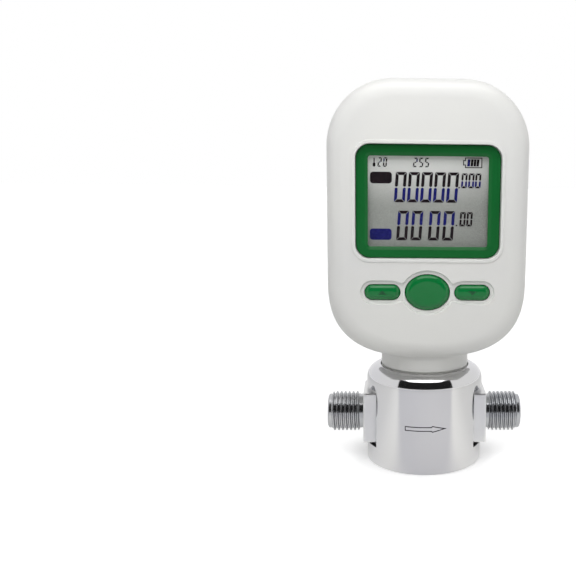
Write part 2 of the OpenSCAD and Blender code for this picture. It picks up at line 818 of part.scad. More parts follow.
module key_shapes(margin) {
    oval = oval_points(key_centre_w + 2 * margin, key_centre_h + 2 * margin);
    pill = pill_points(key_side_w + 2 * margin, key_side_h + 2 * margin);
    translate([0, keys_z]) {
        polygon(oval);
        for (x = sides) translate([x * key_spacing, 0]) polygon(pill);
    }
}

module front_shell() {
    color(white) difference() {
        union() {
            mirror([0, 1, 0]) shell_body();
            between(wall_y - shell_wall / 2, frame_back_y) translate([0, display_z])
                slab(frame_w + 2 * frame_rim, frame_h + 2 * frame_rim, frame_corner_r + frame_rim);
            between(face_y - frame_lip_h, wall_y - shell_wall / 2) translate([0, display_z])
                slab(frame_w + 2 * frame_lip_w, frame_h + 2 * frame_lip_w, frame_corner_r + frame_lip_w);
            for (at = board_posts) translate([at[0], 0, at[1]])
                rod_y(board_post_r, wall_y - shell_wall / 2, board_y);
        }
        between(face_y - overrun, frame_back_y + overrun) translate([0, display_z])
            slab(frame_w + 2 * fit_gap, frame_h + 2 * fit_gap, frame_corner_r);
        between(face_y - overrun, recess_y) key_shapes(recess_margin);
        between(face_y - overrun, wall_y + overrun) key_shapes(key_gap);
        for (at = bosses) translate([at[0], 0, at[1]]) rod_y(boss_bore_r, -screw_grip - overrun, 0);
        for (at = board_posts) translate([at[0], 0, at[1]])
            rod_y(board_screw_r + press_gap, board_y - board_screw_grip, board_y + overrun);
    }
}

module rear_shell() {
    color(white) difference() {
        shell_body();
        between(back_wall_y - overrun, half_d + overrun) translate([0, tray_z])
            slab(tray_inner_w, tray_inner_h, door_corner_r);
        between(half_d - door_t, half_d + overrun) translate([0, tray_z])
            slab(door_w + 2 * door_gap, door_h + 2 * door_gap, door_corner_r + door_gap);
        for (at = bosses) translate([at[0], 0, at[1]]) {
            rod_y(screw_pass_r, -overrun, half_d + overrun);
            rod_y(screw_head_r + fit_gap, half_d - screw_well, half_d + overrun);
        }
    }
}

module shell_gasket() {
    inset = (shell_wall - gasket_w) / 2;
    gasket_top = chin_z + shell_wall;
    color("dimgrey") difference() {
        between(-seam_gap, seam_gap) difference() {
            polygon(head_outline(inset));
            polygon(head_outline(inset + gasket_w));
        }
        translate([0, 0, chin_z - overrun])
            cylinder(r = collar_seat_r + inset, h = neck_top - chin_z + overrun);
    }
    color("dimgrey") for (side = sides) between(-seam_gap, seam_gap)
        translate([side * (collar_seat_r + shell_wall / 2), (neck_foot_z + gasket_top) / 2])
        square([gasket_w, gasket_top - neck_foot_z], center = true);
}

module shell_screws() {
    head_y = half_d - screw_well;
    color(steel) for (at = bosses) translate([at[0], 0, at[1]]) {
        rod_y(screw_head_r, head_y, head_y + screw_head_h);
        rod_y(screw_shank_r, seam_gap, head_y);
        rod_y(boss_bore_r - press_gap, -screw_grip, seam_gap);
    }
}

module display_frame() {
    color(green) difference() {
        union() {
            between(frame_y, frame_back_y) translate([0, display_z]) slab(frame_w, frame_h, frame_corner_r);
            between(frame_back_y, lcd_y) translate([0, display_z])
                slab(frame_w + 2 * frame_flange, frame_h + 2 * frame_flange, frame_corner_r + frame_flange);
        }
        between(frame_y - overrun, lcd_y + overrun) translate([0, display_z])
            slab(screen_w, screen_h, screen_corner_r);
        between(frame_y + window_seat, lcd_y + overrun) translate([0, display_z])
            slab(screen_w + 2 * window_lip, screen_h + 2 * window_lip, screen_corner_r);
    }
}

module display_window() {
    rim = window_lip - fit_gap;
    color("lightblue", 0.4) between(frame_y + window_seat, frame_y + window_seat + window_t)
        translate([0, display_z])
        slab(screen_w + 2 * rim, screen_h + 2 * rim, screen_corner_r);
}

module lcd_module() {
    color("darkgrey") between(lcd_y, lcd_back_y) translate([0, display_z])
        slab(screen_w + 6 * window_lip, screen_h + 6 * window_lip, screen_corner_r);
}

module lcd_strips() {
    z = (screen_h + 6 * window_lip) / 2 - strip_h;
    color("grey") for (side = sides) between(lcd_back_y, board_y) translate([0, display_z + side * z])
        slab(strip_w, strip_h, strip_h / 4);
}

module main_board() {
    color("darkgreen") difference() {
        between(board_y, board_back_y) translate([0, (board_bottom + board_top) / 2])
            slab(board_w, board_top - board_bottom, board_corner_r);
        for (at = board_posts) translate([at[0], 0, at[1]])
            rod_y(board_screw_r + fit_gap, board_y - overrun, board_back_y + overrun);
    }
}

module board_screws() {
    color(steel) for (at = board_posts) translate([at[0], 0, at[1]]) {
        rod_y(board_screw_r, board_y - board_screw_grip + fit_gap, board_back_y);
        rod_y(board_screw_head_r, board_back_y, board_back_y + board_screw_head_h);
    }
}

// Parts soldered to the back of the main board: the processor, a memory, a voltage regulator and a sounder
module board_chips() {
    color("black") for (p = chip_shares) between(board_back_y, board_back_y + p[4] * board_w)
        translate([p[0] * board_w, display_z + p[1] * board_w])
            square([p[2] * board_w, p[3] * board_w], center = true);
}

module board_socket() {
    color("ivory") between(board_back_y, board_back_y + socket_h) translate([0, socket_z])
        square([socket_side, socket_side], center = true);
}

module key_switches() {
    color("black") for (x = [-key_spacing, 0, key_spacing]) difference() {
        between(board_y - switch_h, board_y) translate([x, keys_z])
            square([switch_w, switch_w], center = true);
        translate([x, 0, keys_z])
            rod_y(key_stem_r + key_gap, board_y - switch_h - overrun, board_y - fit_gap);
    }
}

// A key: a domed cap, two tabs that keep it behind the wall, and a stem that works the switch
module key(x, cap, w, h) {
    front = recess_y - key_proud;
    tab_y = wall_y + fit_gap;
    stem_end = board_y - switch_h + stem_sink;
    color(green) translate([x, 0, keys_z]) {
        hull() for (share = key_dome_shares)
            between(front + share[1] * key_proud, front + share[1] * key_proud + key_skin)
            offset(delta = -share[0] * key_proud) polygon(cap);
        between(front + key_skirt, tab_y) polygon(cap);
        between(tab_y, tab_y + key_tab_t) square([w * key_tab_share, h + 2 * key_tab_reach], center = true);
        rod_y(key_stem_r, tab_y, stem_end);
    }
}

module key_left() {
    key(-key_spacing, pill_points(key_side_w, key_side_h), key_side_w, key_side_h);
}

module key_centre() {
    key(0, oval_points(key_centre_w, key_centre_h), key_centre_w, key_centre_h);
}

module key_right() {
    key(key_spacing, pill_points(key_side_w, key_side_h), key_side_w, key_side_h);
}

// The cable rises along the swivel axis and bends to the main board's socket
module sensor_cable() {
    bend_z = socket_z - cable_bend_r;
    color("black") {
        translate([0, 0, cable_start]) cylinder(r = cable_r, h = bend_z - cable_start);
        translate([0, -cable_bend_r, bend_z]) rotate([90, 0, 90]) rotate_extrude(angle = 90)
            translate([cable_bend_r, 0]) circle(cable_r);
        translate([0, 0, socket_z]) rod_y(cable_r, socket_y, -cable_bend_r);
    }
}

module battery_tray() {
    color(white) translate([0, 0, tray_z]) difference() {
        between(tray_start_y, tray_end_y) square([tray_outer_w, tray_outer_h], center = true);
        between(tray_floor_y, tray_end_y + overrun) square([tray_inner_w, tray_inner_h], center = true);
        translate([0, 0, lead_z - tray_z]) for (x = sides) translate([x * lead_x, 0, 0])
            rod_y(lead_r, tray_start_y - overrun, tray_floor_y + overrun);
    }
}

module cell_row() {
    for (i = [0:cell_count - 1]) translate([0, 0, tray_z + (i - (cell_count - 1) / 2) * cell_spacing]) {
        $turn = i % 2 == 0 ? right_side : left_side;
        children();
    }
}

module battery_contacts() {
    x = tray_inner_w / 2 - contact_t;
    color("gold") cell_row() for (side = sides)
        translate([side * x + (side < 0 ? -contact_t : 0), cell_y - contact_w / 2, -contact_w / 2])
        cube([contact_t, contact_w, contact_w]);
}

module battery_leads() {
    color("red") for (x = sides) translate([x * lead_x, 0, lead_z])
        rod_y(lead_r, board_back_y, tray_floor_y);
}

module battery_cells() {
    body_l = cell_l - nub_l;
    color("goldenrod") cell_row() translate([0, cell_y, 0]) rotate([0, 90 * $turn, 0])
        translate([0, 0, -cell_l / 2]) {
        cylinder(r = cell_d / 2, h = body_l);
        cylinder(r = nub_r, h = cell_l);
    }
}

module battery_door() {
    plug = 2 * door_gap;
    color(white) translate([0, 0, tray_z]) difference() {
        union() {
            between(half_d - door_t, half_d) slab(door_w, door_h, door_corner_r);
            between(back_wall_y, half_d - door_t)
                slab(tray_inner_w - plug, tray_inner_h - plug, door_corner_r);
        }
        for (i = [0:2]) translate([0, 0, door_h / 2 - (i + 1.5) * grip_spacing])
            between(half_d - door_t / 3, half_d + overrun) slab(grip_w, grip_h, grip_h / 3);
    }
}

base_cover();
base_plate();
base_screws();
flow_block();
inlet_fitting();
outlet_fitting();
port_seals();
inlet_screen();
laminar_element();
sensor_seal();
sensor_body();
sensor_chip();
sensor_screws();
sensor_board();
sensor_header();
sensor_plug();
swivel_plate();
swivel_plate_screws();
stop_pin();
thrust_washer();
neck_bush();
neck_collar();
front_shell();
rear_shell();
shell_gasket();
shell_screws();
display_frame();
display_window();
lcd_module();
lcd_strips();
main_board();
board_screws();
board_chips();
board_socket();
key_switches();
key_left();
key_centre();
key_right();
sensor_cable();
battery_tray();
battery_contacts();
battery_leads();
battery_cells();
battery_door();
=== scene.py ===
import math
import bmesh
import bpy
from mathutils import Matrix, Vector


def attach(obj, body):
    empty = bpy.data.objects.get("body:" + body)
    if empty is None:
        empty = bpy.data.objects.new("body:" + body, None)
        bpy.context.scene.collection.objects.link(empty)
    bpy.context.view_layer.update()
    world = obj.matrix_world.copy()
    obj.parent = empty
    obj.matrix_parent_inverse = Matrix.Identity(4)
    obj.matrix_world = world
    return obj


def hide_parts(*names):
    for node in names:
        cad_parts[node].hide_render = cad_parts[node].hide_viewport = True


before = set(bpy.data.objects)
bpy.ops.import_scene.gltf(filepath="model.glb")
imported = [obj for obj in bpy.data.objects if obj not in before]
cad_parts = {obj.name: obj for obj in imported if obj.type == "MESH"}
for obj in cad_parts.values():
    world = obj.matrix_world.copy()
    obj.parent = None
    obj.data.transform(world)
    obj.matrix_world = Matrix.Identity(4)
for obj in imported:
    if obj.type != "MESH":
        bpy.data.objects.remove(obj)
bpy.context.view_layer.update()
mm = 0.001
print("flow meter: frame loaded")


# node helpers
class Wire:
    # one socket of a node tree, with arithmetic
    def __init__(self, graph, socket):
        self.graph = graph
        self.socket = socket

    def maths(self, op, *parts):
        return self.graph.node("ShaderNodeMath", dict(enumerate(parts)), operation=op)

    def __add__(self, other):
        return self.maths("ADD", self, other)

    def __sub__(self, other):
        return self.maths("SUBTRACT", self, other)

    def __rsub__(self, other):
        return self.maths("SUBTRACT", other, self)

    def __mul__(self, other):
        return self.maths("MULTIPLY", self, other)

    def __truediv__(self, other):
        return self.maths("DIVIDE", self, other)

    def __gt__(self, other):
        return self.maths("GREATER_THAN", self, other)

    def __lt__(self, other):
        return self.maths("LESS_THAN", self, other)

    def one(self, op):
        return self.maths(op, self)

    def ramp(self, low, high):
        # smooth step from 0 at low to 1 at high
        inputs = {"Value": self, "From Min": low, "From Max": high}
        return self.graph.node("ShaderNodeMapRange", inputs, interpolation_type="SMOOTHSTEP")


class Graph:
    def __init__(self, tree):
        self.tree = tree

    def node(self, kind, inputs=None, output=0, **settings):
        made = self.tree.nodes.new(kind)
        for name, value in settings.items():
            setattr(made, name, value)
        for key, value in (inputs or {}).items():
            if isinstance(value, Wire):
                self.tree.links.new(value.socket, made.inputs[key])
            else:
                made.inputs[key].default_value = value
        return Wire(self, made.outputs[output])

    def mix(self, factor, a, b):
        # inputs 6 and 7 and output 2 of a Mix node are its colours
        shades = {k: (*v, 1) if isinstance(v, tuple) else v for k, v in ((6, a), (7, b))}
        return self.node("ShaderNodeMix", {0: factor, **shades}, 2, data_type="RGBA")

    def where(self):
        return self.node("ShaderNodeTexCoord", output="Object")

    def axis(self, name):
        return self.node("ShaderNodeSeparateXYZ", {0: self.where()}, name)

    def noise(self, scale, detail=3, stretch=(1, 1, 1), rough=0.5):
        vector = self.node("ShaderNodeMapping", {"Vector": self.where(), "Scale": stretch})
        inputs = {"Vector": vector, "Scale": scale, "Detail": detail, "Roughness": rough}
        return self.node("ShaderNodeTexNoise", inputs)

    def bump(self, height, strength, distance):
        return self.node("ShaderNodeBump", {"Height": height, "Strength": strength, "Distance": distance})

    def ray(self, kind):
        return self.node("ShaderNodeLightPath", output="Is " + kind + " Ray")


finishes = {}


def finish(name, build=None, **sockets):
    # a Principled material; build(graph) returns the wires to link
    made = bpy.data.materials.new(name)
    made.use_nodes = True
    tree = made.node_tree
    shader = next(n for n in tree.nodes if n.type == "BSDF_PRINCIPLED")
    for key, value in sockets.items():
        shader.inputs[key.replace("_", " ")].default_value = value
    if build:
        for key, wire in build(Graph(tree)).items():
            tree.links.new(wire.socket, shader.inputs[key])
    finishes[name] = made


def textured(name, tones, drift, span, fine, rough, bump=None, **sockets):
    # drift and fine are noises: one leads between two tones over span, the other roughens
    def build(graph):
        cloud = graph.noise(*drift)
        grain = graph.noise(*fine) if fine else cloud
        made = {"Base Color": graph.mix(cloud.ramp(*span), *tones)}
        made["Roughness"] = grain * rough[1] + rough[0]
        if bump:
            made["Normal"] = graph.bump(grain, *bump)
        return made
    finish(name, build, **sockets)


def moulded(name, roughness, tone, tint, grain=2600.0, depth=0.00002, **sockets):
    # plastic with a fine spark-eroded grain
    rough = (roughness - 0.03, 0.08)
    textured(name, (tone, tint), (28, 2), (0.3, 0.7), (grain, 3), rough, (0.35, depth), **sockets)


def brushed(name, roughness, tone, tint, stretch):
    # metal with fine lines along one axis
    lines, rough = (900, 4, stretch, 0.65), (roughness - 0.06, 0.14)
    textured(name, (tone, tint), (60, 3), (0.3, 0.75), lines, rough, (0.3, 0.00001), Metallic=1.0)


def rubber(name, colour):
    dusty = tuple(c + 0.03 for c in colour)
    textured(name, (colour, dusty), (340, 4), (0.45, 0.8), None, (0.62, 0.2), (0.3, 0.00004))


def ink(name, colour, edge, **sockets):
    textured(name, (colour, edge), (1500, 2), (0.35, 0.7), None, (0.4, 0.1), **sockets)


# mesh helpers
def place(name, data):
    made = bpy.data.objects.new(name, data)
    bpy.context.scene.collection.objects.link(made)
    return made


def shade(piece, sharp=35):
    # smooth, with edges over sharp degrees kept
    mesh = piece.data
    mesh.polygons.foreach_set("use_smooth", [True] * len(mesh.polygons))
    mesh.set_sharp_from_angle(angle=math.radians(sharp))
    mesh.update()
    return piece


def addPiece(name, points, faces, material, sharp=35):
    mesh = bpy.data.meshes.new(name)
    mesh.from_pydata([tuple(c * mm for c in p) for p in points], [], faces)
    mesh.materials.append(finishes[material])
    return shade(place(name, mesh), sharp)


def settle(piece):
    # applies the piece's modifiers to its own mesh
    graph = bpy.context.evaluated_depsgraph_get()
    whole = piece.evaluated_get(graph)
    mesh = bpy.data.meshes.new_from_object(whole, preserve_all_data_layers=True, depsgraph=graph)
    old = piece.data
    piece.modifiers.clear()
    piece.data = mesh
    bpy.data.meshes.remove(old)
    return piece


def reshape(piece, work):
    # work(solid) edits the piece's mesh
    solid = bmesh.new()
    solid.from_mesh(piece.data)
    work(solid)
    solid.to_mesh(piece.data)
    solid.free()


def rims(solid):
    return [edge for edge in solid.edges if edge.is_boundary]


def clean(piece, reach=0.002):
    # merges the slivers that a cut leaves and shuts what that opens
    def work(solid):
        bmesh.ops.remove_doubles(solid, verts=solid.verts, dist=reach * mm)
        bmesh.ops.dissolve_degenerate(solid, edges=solid.edges, dist=reach * mm)
        bmesh.ops.holes_fill(solid, edges=rims(solid))
    reshape(piece, work)


def outwards(piece, sharp=35):
    def work(solid):
        bmesh.ops.remove_doubles(solid, verts=solid.verts, dist=1e-7)
        bmesh.ops.recalc_face_normals(solid, faces=solid.faces)
    reshape(piece, work)
    return shade(piece, sharp)


def carve(piece, cutters, way="DIFFERENCE"):
    for cutter in cutters:
        cut = piece.modifiers.new("cut", "BOOLEAN")
        cut.operation, cut.solver, cut.object = way, "EXACT", cutter
    clean(settle(piece))
    for cutter in cutters:
        bpy.data.objects.remove(cutter)
    return piece


def bevel(piece, width, segments, angle):
    soft = piece.modifiers.new("edge", "BEVEL")
    soft.width, soft.segments, soft.limit_method = width * mm, segments, "ANGLE"
    soft.angle_limit, soft.miter_outer = math.radians(angle), "MITER_ARC"


def weigh(piece):
    even = piece.modifiers.new("even", "WEIGHTED_NORMAL")
    even.mode, even.weight, even.keep_sharp = "FACE_AREA", 90, True
    return piece


def joinPieces(name, pieces, sharp=35):
    # one mesh from several, materials kept
    mesh = bpy.data.meshes.new(name)
    whole = bmesh.new()
    slots = []
    for piece in pieces:
        start = len(whole.faces)
        whole.from_mesh(piece.data)
        for face in list(whole.faces)[start:]:
            material = piece.data.materials[face.material_index]
            if material not in slots:
                slots.append(material)
            face.material_index = slots.index(material)
    whole.to_mesh(mesh)
    whole.free()
    for material in slots:
        mesh.materials.append(material)
    for piece in pieces:
        bpy.data.objects.remove(piece)
    return shade(place(name, mesh), sharp)


def mount(piece, body, slot, *nodes):
    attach(piece, body)
    if nodes:
        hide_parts(*nodes)


def quarter(steps):
    return [math.pi / 2 * k / steps for k in range(steps + 1)]


def circle(steps):
    return [2 * math.pi * i / steps for i in range(steps)]


def arc(cx, cy, r, start, end, steps):
    angles = [math.radians(start + (end - start) * i / steps) for i in range(steps + 1)]
    return [(cx + r * math.cos(a), cy + r * math.sin(a)) for a in angles]


def rectangle(x0, x1, z0, z1):
    return [(x0, z0), (x1, z0), (x1, z1), (x0, z1)]


def roundedLoop(w, h, r, steps, cx, cz):
    loop = []
    for sx, sz, start in ((1, -1, -90), (1, 1, 0), (-1, 1, 90), (-1, -1, 180)):
        loop += arc(cx + sx * (w / 2 - r), cz + sz * (h / 2 - r), r, start, start + 90, steps)
    return loop


def pillLoop(w, h, cx, cz, steps=20):
    reach = (w - h) / 2
    return arc(cx + reach, cz, h / 2, -90, 90, steps) + arc(cx - reach, cz, h / 2, 90, 270, steps)


def ovalLoop(w, h, cx, cz, steps=96):
    return [(cx + w / 2 * math.cos(a), cz + h / 2 * math.sin(a)) for a in circle(steps)]


def disc(x, z, steps):
    return lambda r: ovalLoop(2 * r, 2 * r, x, z, steps)


def slabAt(w, h, r, z, steps=12):
    # outline of a rounded slab, wider all round by a margin
    return lambda m: roundedLoop(w + 2 * m, h + 2 * m, max(0.05, r + m), steps, 0, z)


def rounding(angles, r):
    # how far back and how far in a round edge is at each angle
    return [(r * (1 - math.sin(a)), r * (1 - math.cos(a))) for a in angles]


def flared(at, y0, y1, margin, soft):
    # levels of a cutter from y0 out past the face y1, its mouth widened in a round edge
    way, over = 1 if y1 > y0 else -1, 1.5
    mouth = [(y1 - way * back, at(margin + wider)) for back, wider in rounding(quarter(5), soft)]
    return [(y0, at(margin))] + mouth + [(y1 + way * over, at(margin + soft))]


def loft(name, rings, material, closed=False, sharp=35):
    # a skin over rings of equal count; a closed one joins its last ring to its first
    count = len(rings[0])
    points = [p for ring in rings for p in ring]
    faces = []
    for k in range(len(rings) if closed else len(rings) - 1):
        a, b = k * count, (k + 1) % len(rings) * count
        for i in range(count):
            j = (i + 1) % count
            faces.append((a + j, a + i, b + i, b + j))
    if not closed:
        faces += [tuple(range(count)), tuple(reversed(range(len(points) - count, len(points))))]
    return outwards(addPiece(name, points, faces, material), sharp)


def stack(name, levels, material="whiteCase"):
    # a solid from flat loops in x and z at given depths
    return loft(name, [[(x, y, z) for x, z in loop] for y, loop in levels], material)


def slab(name, size, z, levels, material="whiteCase"):
    # a stack of rounded slabs, levels being depths and margins
    at = slabAt(*size, z)
    return stack(name, [(y, at(margin)) for y, margin in levels], material)


def aimed(along, u, v, h):
    # a point of a turned shape, h up its axis
    return {"z": (u, v, h), "x": (h, v, -u), "-x": (-h, v, u), "y": (u, h, -v), "-z": (u, -v, -h)}[along]


def lathe(name, profile, material="whiteCase", steps=96, lift=0, along="z"):
    # profile as (radius, height) pairs, turned about an axis that lies lift above the floor;
    # one that starts off the axis is joined end to end
    rings = []
    for r, h in profile:
        ring = [aimed(along, r * math.cos(a), r * math.sin(a), h) for a in circle(steps)]
        rings.append([(x, y, z + lift) for x, y, z in ring])
    return loft(name, rings, material, profile[0][0] > 0)


# geometry node helpers
def growTree(name, wants, build):
    # a tree with named inputs that ends in Realize Instances and Set Material
    tree = bpy.data.node_groups.new(name, "GeometryNodeTree")
    wants = {"Geometry": "Geometry", **wants, "Finish": "Material"}
    for label, kind in wants.items():
        tree.interface.new_socket(label, in_out="INPUT", socket_type="NodeSocket" + kind)
    tree.interface.new_socket("Geometry", in_out="OUTPUT", socket_type="NodeSocketGeometry")
    graph = Graph(tree)
    given = tree.nodes.new("NodeGroupInput")
    ports = {socket.name: Wire(graph, socket) for socket in given.outputs if socket.name}
    solid = graph.node("GeometryNodeRealizeInstances", {0: build(graph, ports)})
    dressed = graph.node("GeometryNodeSetMaterial", {"Geometry": solid, "Material": ports["Finish"]})
    end = tree.nodes.new("NodeGroupOutput")
    tree.links.new(dressed.socket, end.inputs[0])
    return tree


def grow(tree, name, values, material, carrier=()):
    # runs a tree on loose points and keeps the plain mesh
    mesh = bpy.data.meshes.new(name)
    mesh.from_pydata([tuple(c * mm for c in p) for p in carrier], [], [])
    made = place(name, mesh)
    modifier = made.modifiers.new("grow", "NODES")
    modifier.node_group = tree
    values = {**values, "Finish": finishes[material]}
    for item in tree.interface.items_tree:
        if item.in_out == "INPUT" and item.name in values:
            modifier[item.identifier] = values[item.name]
    return shade(settle(made))


# flank is the part of half a pitch over which the ridge rises, runOut and rim parts of the length;
# turns keep the count along the helix above zero, and weld closes the sleeve's seam
thread = {"flank": (0.07, 0.43), "runOut": 0.055, "rim": 0.004, "turns": 40.0, "weld": 0.000001}


def threadBuild(graph, ports):
    # a flat grid rolled into a sleeve whose radius follows a helix
    t = thread
    size = {"Size X": 1.0, "Size Y": 1.0}
    size.update({"Vertices X": ports["Steps Along"], "Vertices Y": ports["Steps Round"]})
    grid = graph.node("GeometryNodeMeshGrid", size, "Mesh")
    where = graph.node("GeometryNodeInputPosition")
    along, turn = (graph.node("ShaderNodeSeparateXYZ", {0: where}, name) + 0.5 for name in "XY")
    axial = along * ports["Length"]
    phase = (axial / ports["Pitch"] - turn + t["turns"]).one("FRACT")
    ridge = (0.5 - (phase - 0.5).one("ABSOLUTE")).ramp(*t["flank"])
    ends = along.ramp(0.0, t["runOut"]) * (1.0 - along).ramp(0.0, t["runOut"])
    radius = ports["Root"] + (ports["Crest"] - ports["Root"]) * ridge * ends
    sunk = radius - ((along < t["rim"]) + (along > 1 - t["rim"])) * ports["Sink"]
    angle = turn * (2 * math.pi)
    x = (ports["Start"] + axial) * ports["Side"]
    y = angle.one("COSINE") * sunk * ports["Side"]
    z = angle.one("SINE") * sunk + ports["Height"]
    rolled = graph.node("ShaderNodeCombineXYZ", {0: x, 1: y, 2: z})
    moved = graph.node("GeometryNodeSetPosition", {"Geometry": grid, "Position": rolled})
    return graph.node("GeometryNodeMergeByDistance", {"Geometry": moved, "Distance": t["weld"]})


def repeatBuild(graph, ports):
    # one piece at every loose point
    shape = graph.node("GeometryNodeObjectInfo", {"Object": ports["Piece"]}, "Geometry")
    return graph.node("GeometryNodeInstanceOnPoints", {"Points": ports["Geometry"], "Instance": shape})


threadWants = dict.fromkeys("Start Length Pitch Crest Root Sink Height Side".split(), "Float")
threadWants.update({"Steps Along": "Int", "Steps Round": "Int"})
threadTree = growTree("pipe thread", threadWants, threadBuild)
repeatTree = growTree("repeat at points", {"Piece": "Object"}, repeatBuild)


def repeat(name, piece, places, material):
    made = grow(repeatTree, name, {"Piece": piece}, material, places)
    bpy.data.objects.remove(piece)
    return made


# finishes
def chromeBuild(graph):
    smear = graph.noise(22, 3, (1, 1, 0.25))
    fine = graph.noise(420, 2, (1, 1, 0.5))
    tone = graph.mix(smear.ramp(0.35, 0.7), (0.6, 0.6, 0.625), (0.63, 0.625, 0.625))
    return {"Base Color": tone, "Roughness": fine * 0.05 + 0.055, "Normal": graph.bump(smear, 0.12, 0.0004)}


def windowBuild(graph):
    return {"Roughness": graph.noise(45, 2) * 0.05 + 0.03}


def displayBuild(graph):
    # reflective display with painted light: lighter at the top with a painted glow there, painted shade towards
    # the right, and the speckle of its rear foil
    low, high, middle, right = 0.0815, 0.101, 0.004, 0.02
    # painted light: the top of the display is made lighter than the bottom
    height = graph.axis("Z").ramp(low, high)
    speckle = graph.noise(3600, 2)
    tone = graph.mix(height, (0.335, 0.35, 0.325), (0.86, 0.87, 0.85))
    # painted shade towards the right side of the display
    tone = graph.mix(graph.axis("X").ramp(middle, right) * 0.3, tone, (0.2, 0.2, 0.19))
    return {"Base Color": graph.mix(speckle.ramp(0.3, 0.75) * 0.3, tone, (0.72, 0.72, 0.7)),
            "Roughness": speckle * 0.15 + 0.4,
            # painted glow at the top; the display is no lamp
            "Emission Color": graph.mix(height, (0, 0, 0), (0.1, 0.1, 0.096))}


def boardBuild(graph):
    # solder mask over copper tracks
    tracks = (graph.axis("Z") * 900.0).one("FRACT") > 0.62
    breaks = graph.noise(260, 1) > 0.5
    pads = graph.noise(820, 0) > 0.66
    mask = graph.mix(tracks * breaks, (0.012, 0.11, 0.045), (0.03, 0.2, 0.08))
    return {"Base Color": graph.mix(pads, mask, (0.55, 0.5, 0.36)), "Roughness": pads * 0.15 + 0.3}


def sleeved(name, way, edge=(0.0115, 0.0117)):
    # a plain two-tone sleeve, its band past edge towards way along x
    def build(graph):
        band = (graph.axis("X") * way).ramp(*edge)
        scuff = graph.noise(180, 4)
        sleeve = graph.mix(band, (0.1, 0.1, 0.11), (0.62, 0.46, 0.2))
        tone = graph.mix(scuff.ramp(0.6, 0.9) * 0.4, sleeve, (0.5, 0.5, 0.5))
        return {"Base Color": tone, "Roughness": scuff * 0.2 + 0.28}
    finish(name, build, Metallic=0.55)


finish("chromeCover", chromeBuild, Metallic=1.0)
brushed("blockSteel", 0.3, (0.68, 0.68, 0.69), (0.74, 0.74, 0.73), (0.15, 1, 1))
brushed("portSteel", 0.2, (0.4, 0.41, 0.43), (0.5, 0.5, 0.51), (1, 0.3, 0.3))
brushed("plateSteel", 0.36, (0.56, 0.56, 0.57), (0.64, 0.64, 0.64), (1, 0.1, 1))
brushed("screwSteel", 0.28, (0.55, 0.55, 0.56), (0.66, 0.66, 0.66), (1, 1, 1))
brushed("springBrass", 0.3, (0.7, 0.58, 0.32), (0.78, 0.68, 0.42), (1, 1, 0.2))
moulded("whiteCase", 0.34, (0.83, 0.83, 0.80), (0.80, 0.80, 0.785))
moulded("frameGreen", 0.33, (0.002, 0.118, 0.02), (0.004, 0.136, 0.027), 3200.0, Specular_IOR_Level=0.25)
moulded("keyGreen", 0.15, (0.001, 0.172, 0.035), (0.004, 0.2, 0.046), 3600.0, 0.00001,
        Specular_IOR_Level=0.45)
moulded("markGreen", 0.4, (0.004, 0.075, 0.022), (0.006, 0.1, 0.03), 3600.0)
moulded("darkPlastic", 0.5, (0.045, 0.045, 0.05), (0.06, 0.06, 0.065))
moulded("chipBlack", 0.45, (0.016, 0.016, 0.017), (0.028, 0.028, 0.028))
moulded("ivoryPlastic", 0.4, (0.74, 0.7, 0.59), (0.7, 0.66, 0.53))
rubber("sealRubber", (0.018, 0.018, 0.018))
rubber("cableJacket", (0.022, 0.022, 0.024))
rubber("leadRed", (0.42, 0.015, 0.015))
ink("grooveDark", (0.02, 0.02, 0.022), (0.05, 0.045, 0.05), Metallic=0.3)
ink("inkNavy", (0.008, 0.008, 0.13), (0.02, 0.02, 0.2), Specular_IOR_Level=0.15)
ink("inkBlack", (0.008, 0.004, 0.007), (0.025, 0.013, 0.018), Specular_IOR_Level=0.15)
sleeved("cellJacket", 1.0)
sleeved("cellTurned", -1.0)
finish("circuitBoard", boardBuild)
# the display's emission is a painted glow at its top, not a lamp
finish("displayGrey", displayBuild, Emission_Strength=1.0)
finish("clearWindow", windowBuild, Base_Color=(0.06, 0.07, 0.07, 1), Alpha=0.035, IOR=1.49)
print("flow meter: finishes made")


# cover, block and ports; lengths in millimetres from here on
cover = {
    "radius": 19, "wall": 1.5, "top": 31.5, "shoulder": 4.5, "foot": 0.55, "rows": (3, 14, 25.4),
    "footSteps": 7, "outerSteps": 22, "innerSteps": 12, "steps": 240,
    "slotHalf": 10.75, "slotLow": 6.05, "slotTop": 24.65, "slotReach": 30,
    "edge": 0.3, "edgeSteps": 3, "sharp": 50, "merge": 0.03}


def makeCover():
    c = cover
    hole, springing = c["radius"] - c["shoulder"], c["top"] - c["shoulder"]
    profile = [(c["radius"] - c["wall"], 0)]
    profile += arc(c["radius"] - c["foot"], c["foot"], c["foot"], -90, 0, c["footSteps"])
    profile += [(c["radius"], z) for z in c["rows"]]
    profile += arc(hole, springing, c["shoulder"], 0, 90, c["outerSteps"])
    profile += [(hole, c["top"] - c["wall"])]
    profile += arc(hole, springing, c["shoulder"] - c["wall"], 90, 0, c["innerSteps"])
    made = lathe("coverShell", profile, "chromeCover", c["steps"])
    slot = rectangle(-c["slotReach"], c["slotReach"], c["slotLow"], c["slotTop"])
    carve(made, [stack("slotCutter", [(y, slot) for y in (-c["slotHalf"], c["slotHalf"])], "chromeCover")])
    bevel(made, c["edge"], c["edgeSteps"], c["sharp"])
    clean(settle(made), c["merge"])
    return weigh(shade(made, c["sharp"]))


def roll(u, z, radius):
    # a point of the flat drawing, rolled onto the front of the cover
    a = u / cover["radius"]
    return (radius * math.sin(a), -radius * math.cos(a), z)


arrow = {
    "length": 13.4, "shaft": 1.5, "head": 2.2, "headLength": 5, "barb": 0.2, "line": 0.3, "z": 15,
    "proud": 0.015, "sunk": 0.05, "step": 0.5, "sharpest": 0.35}


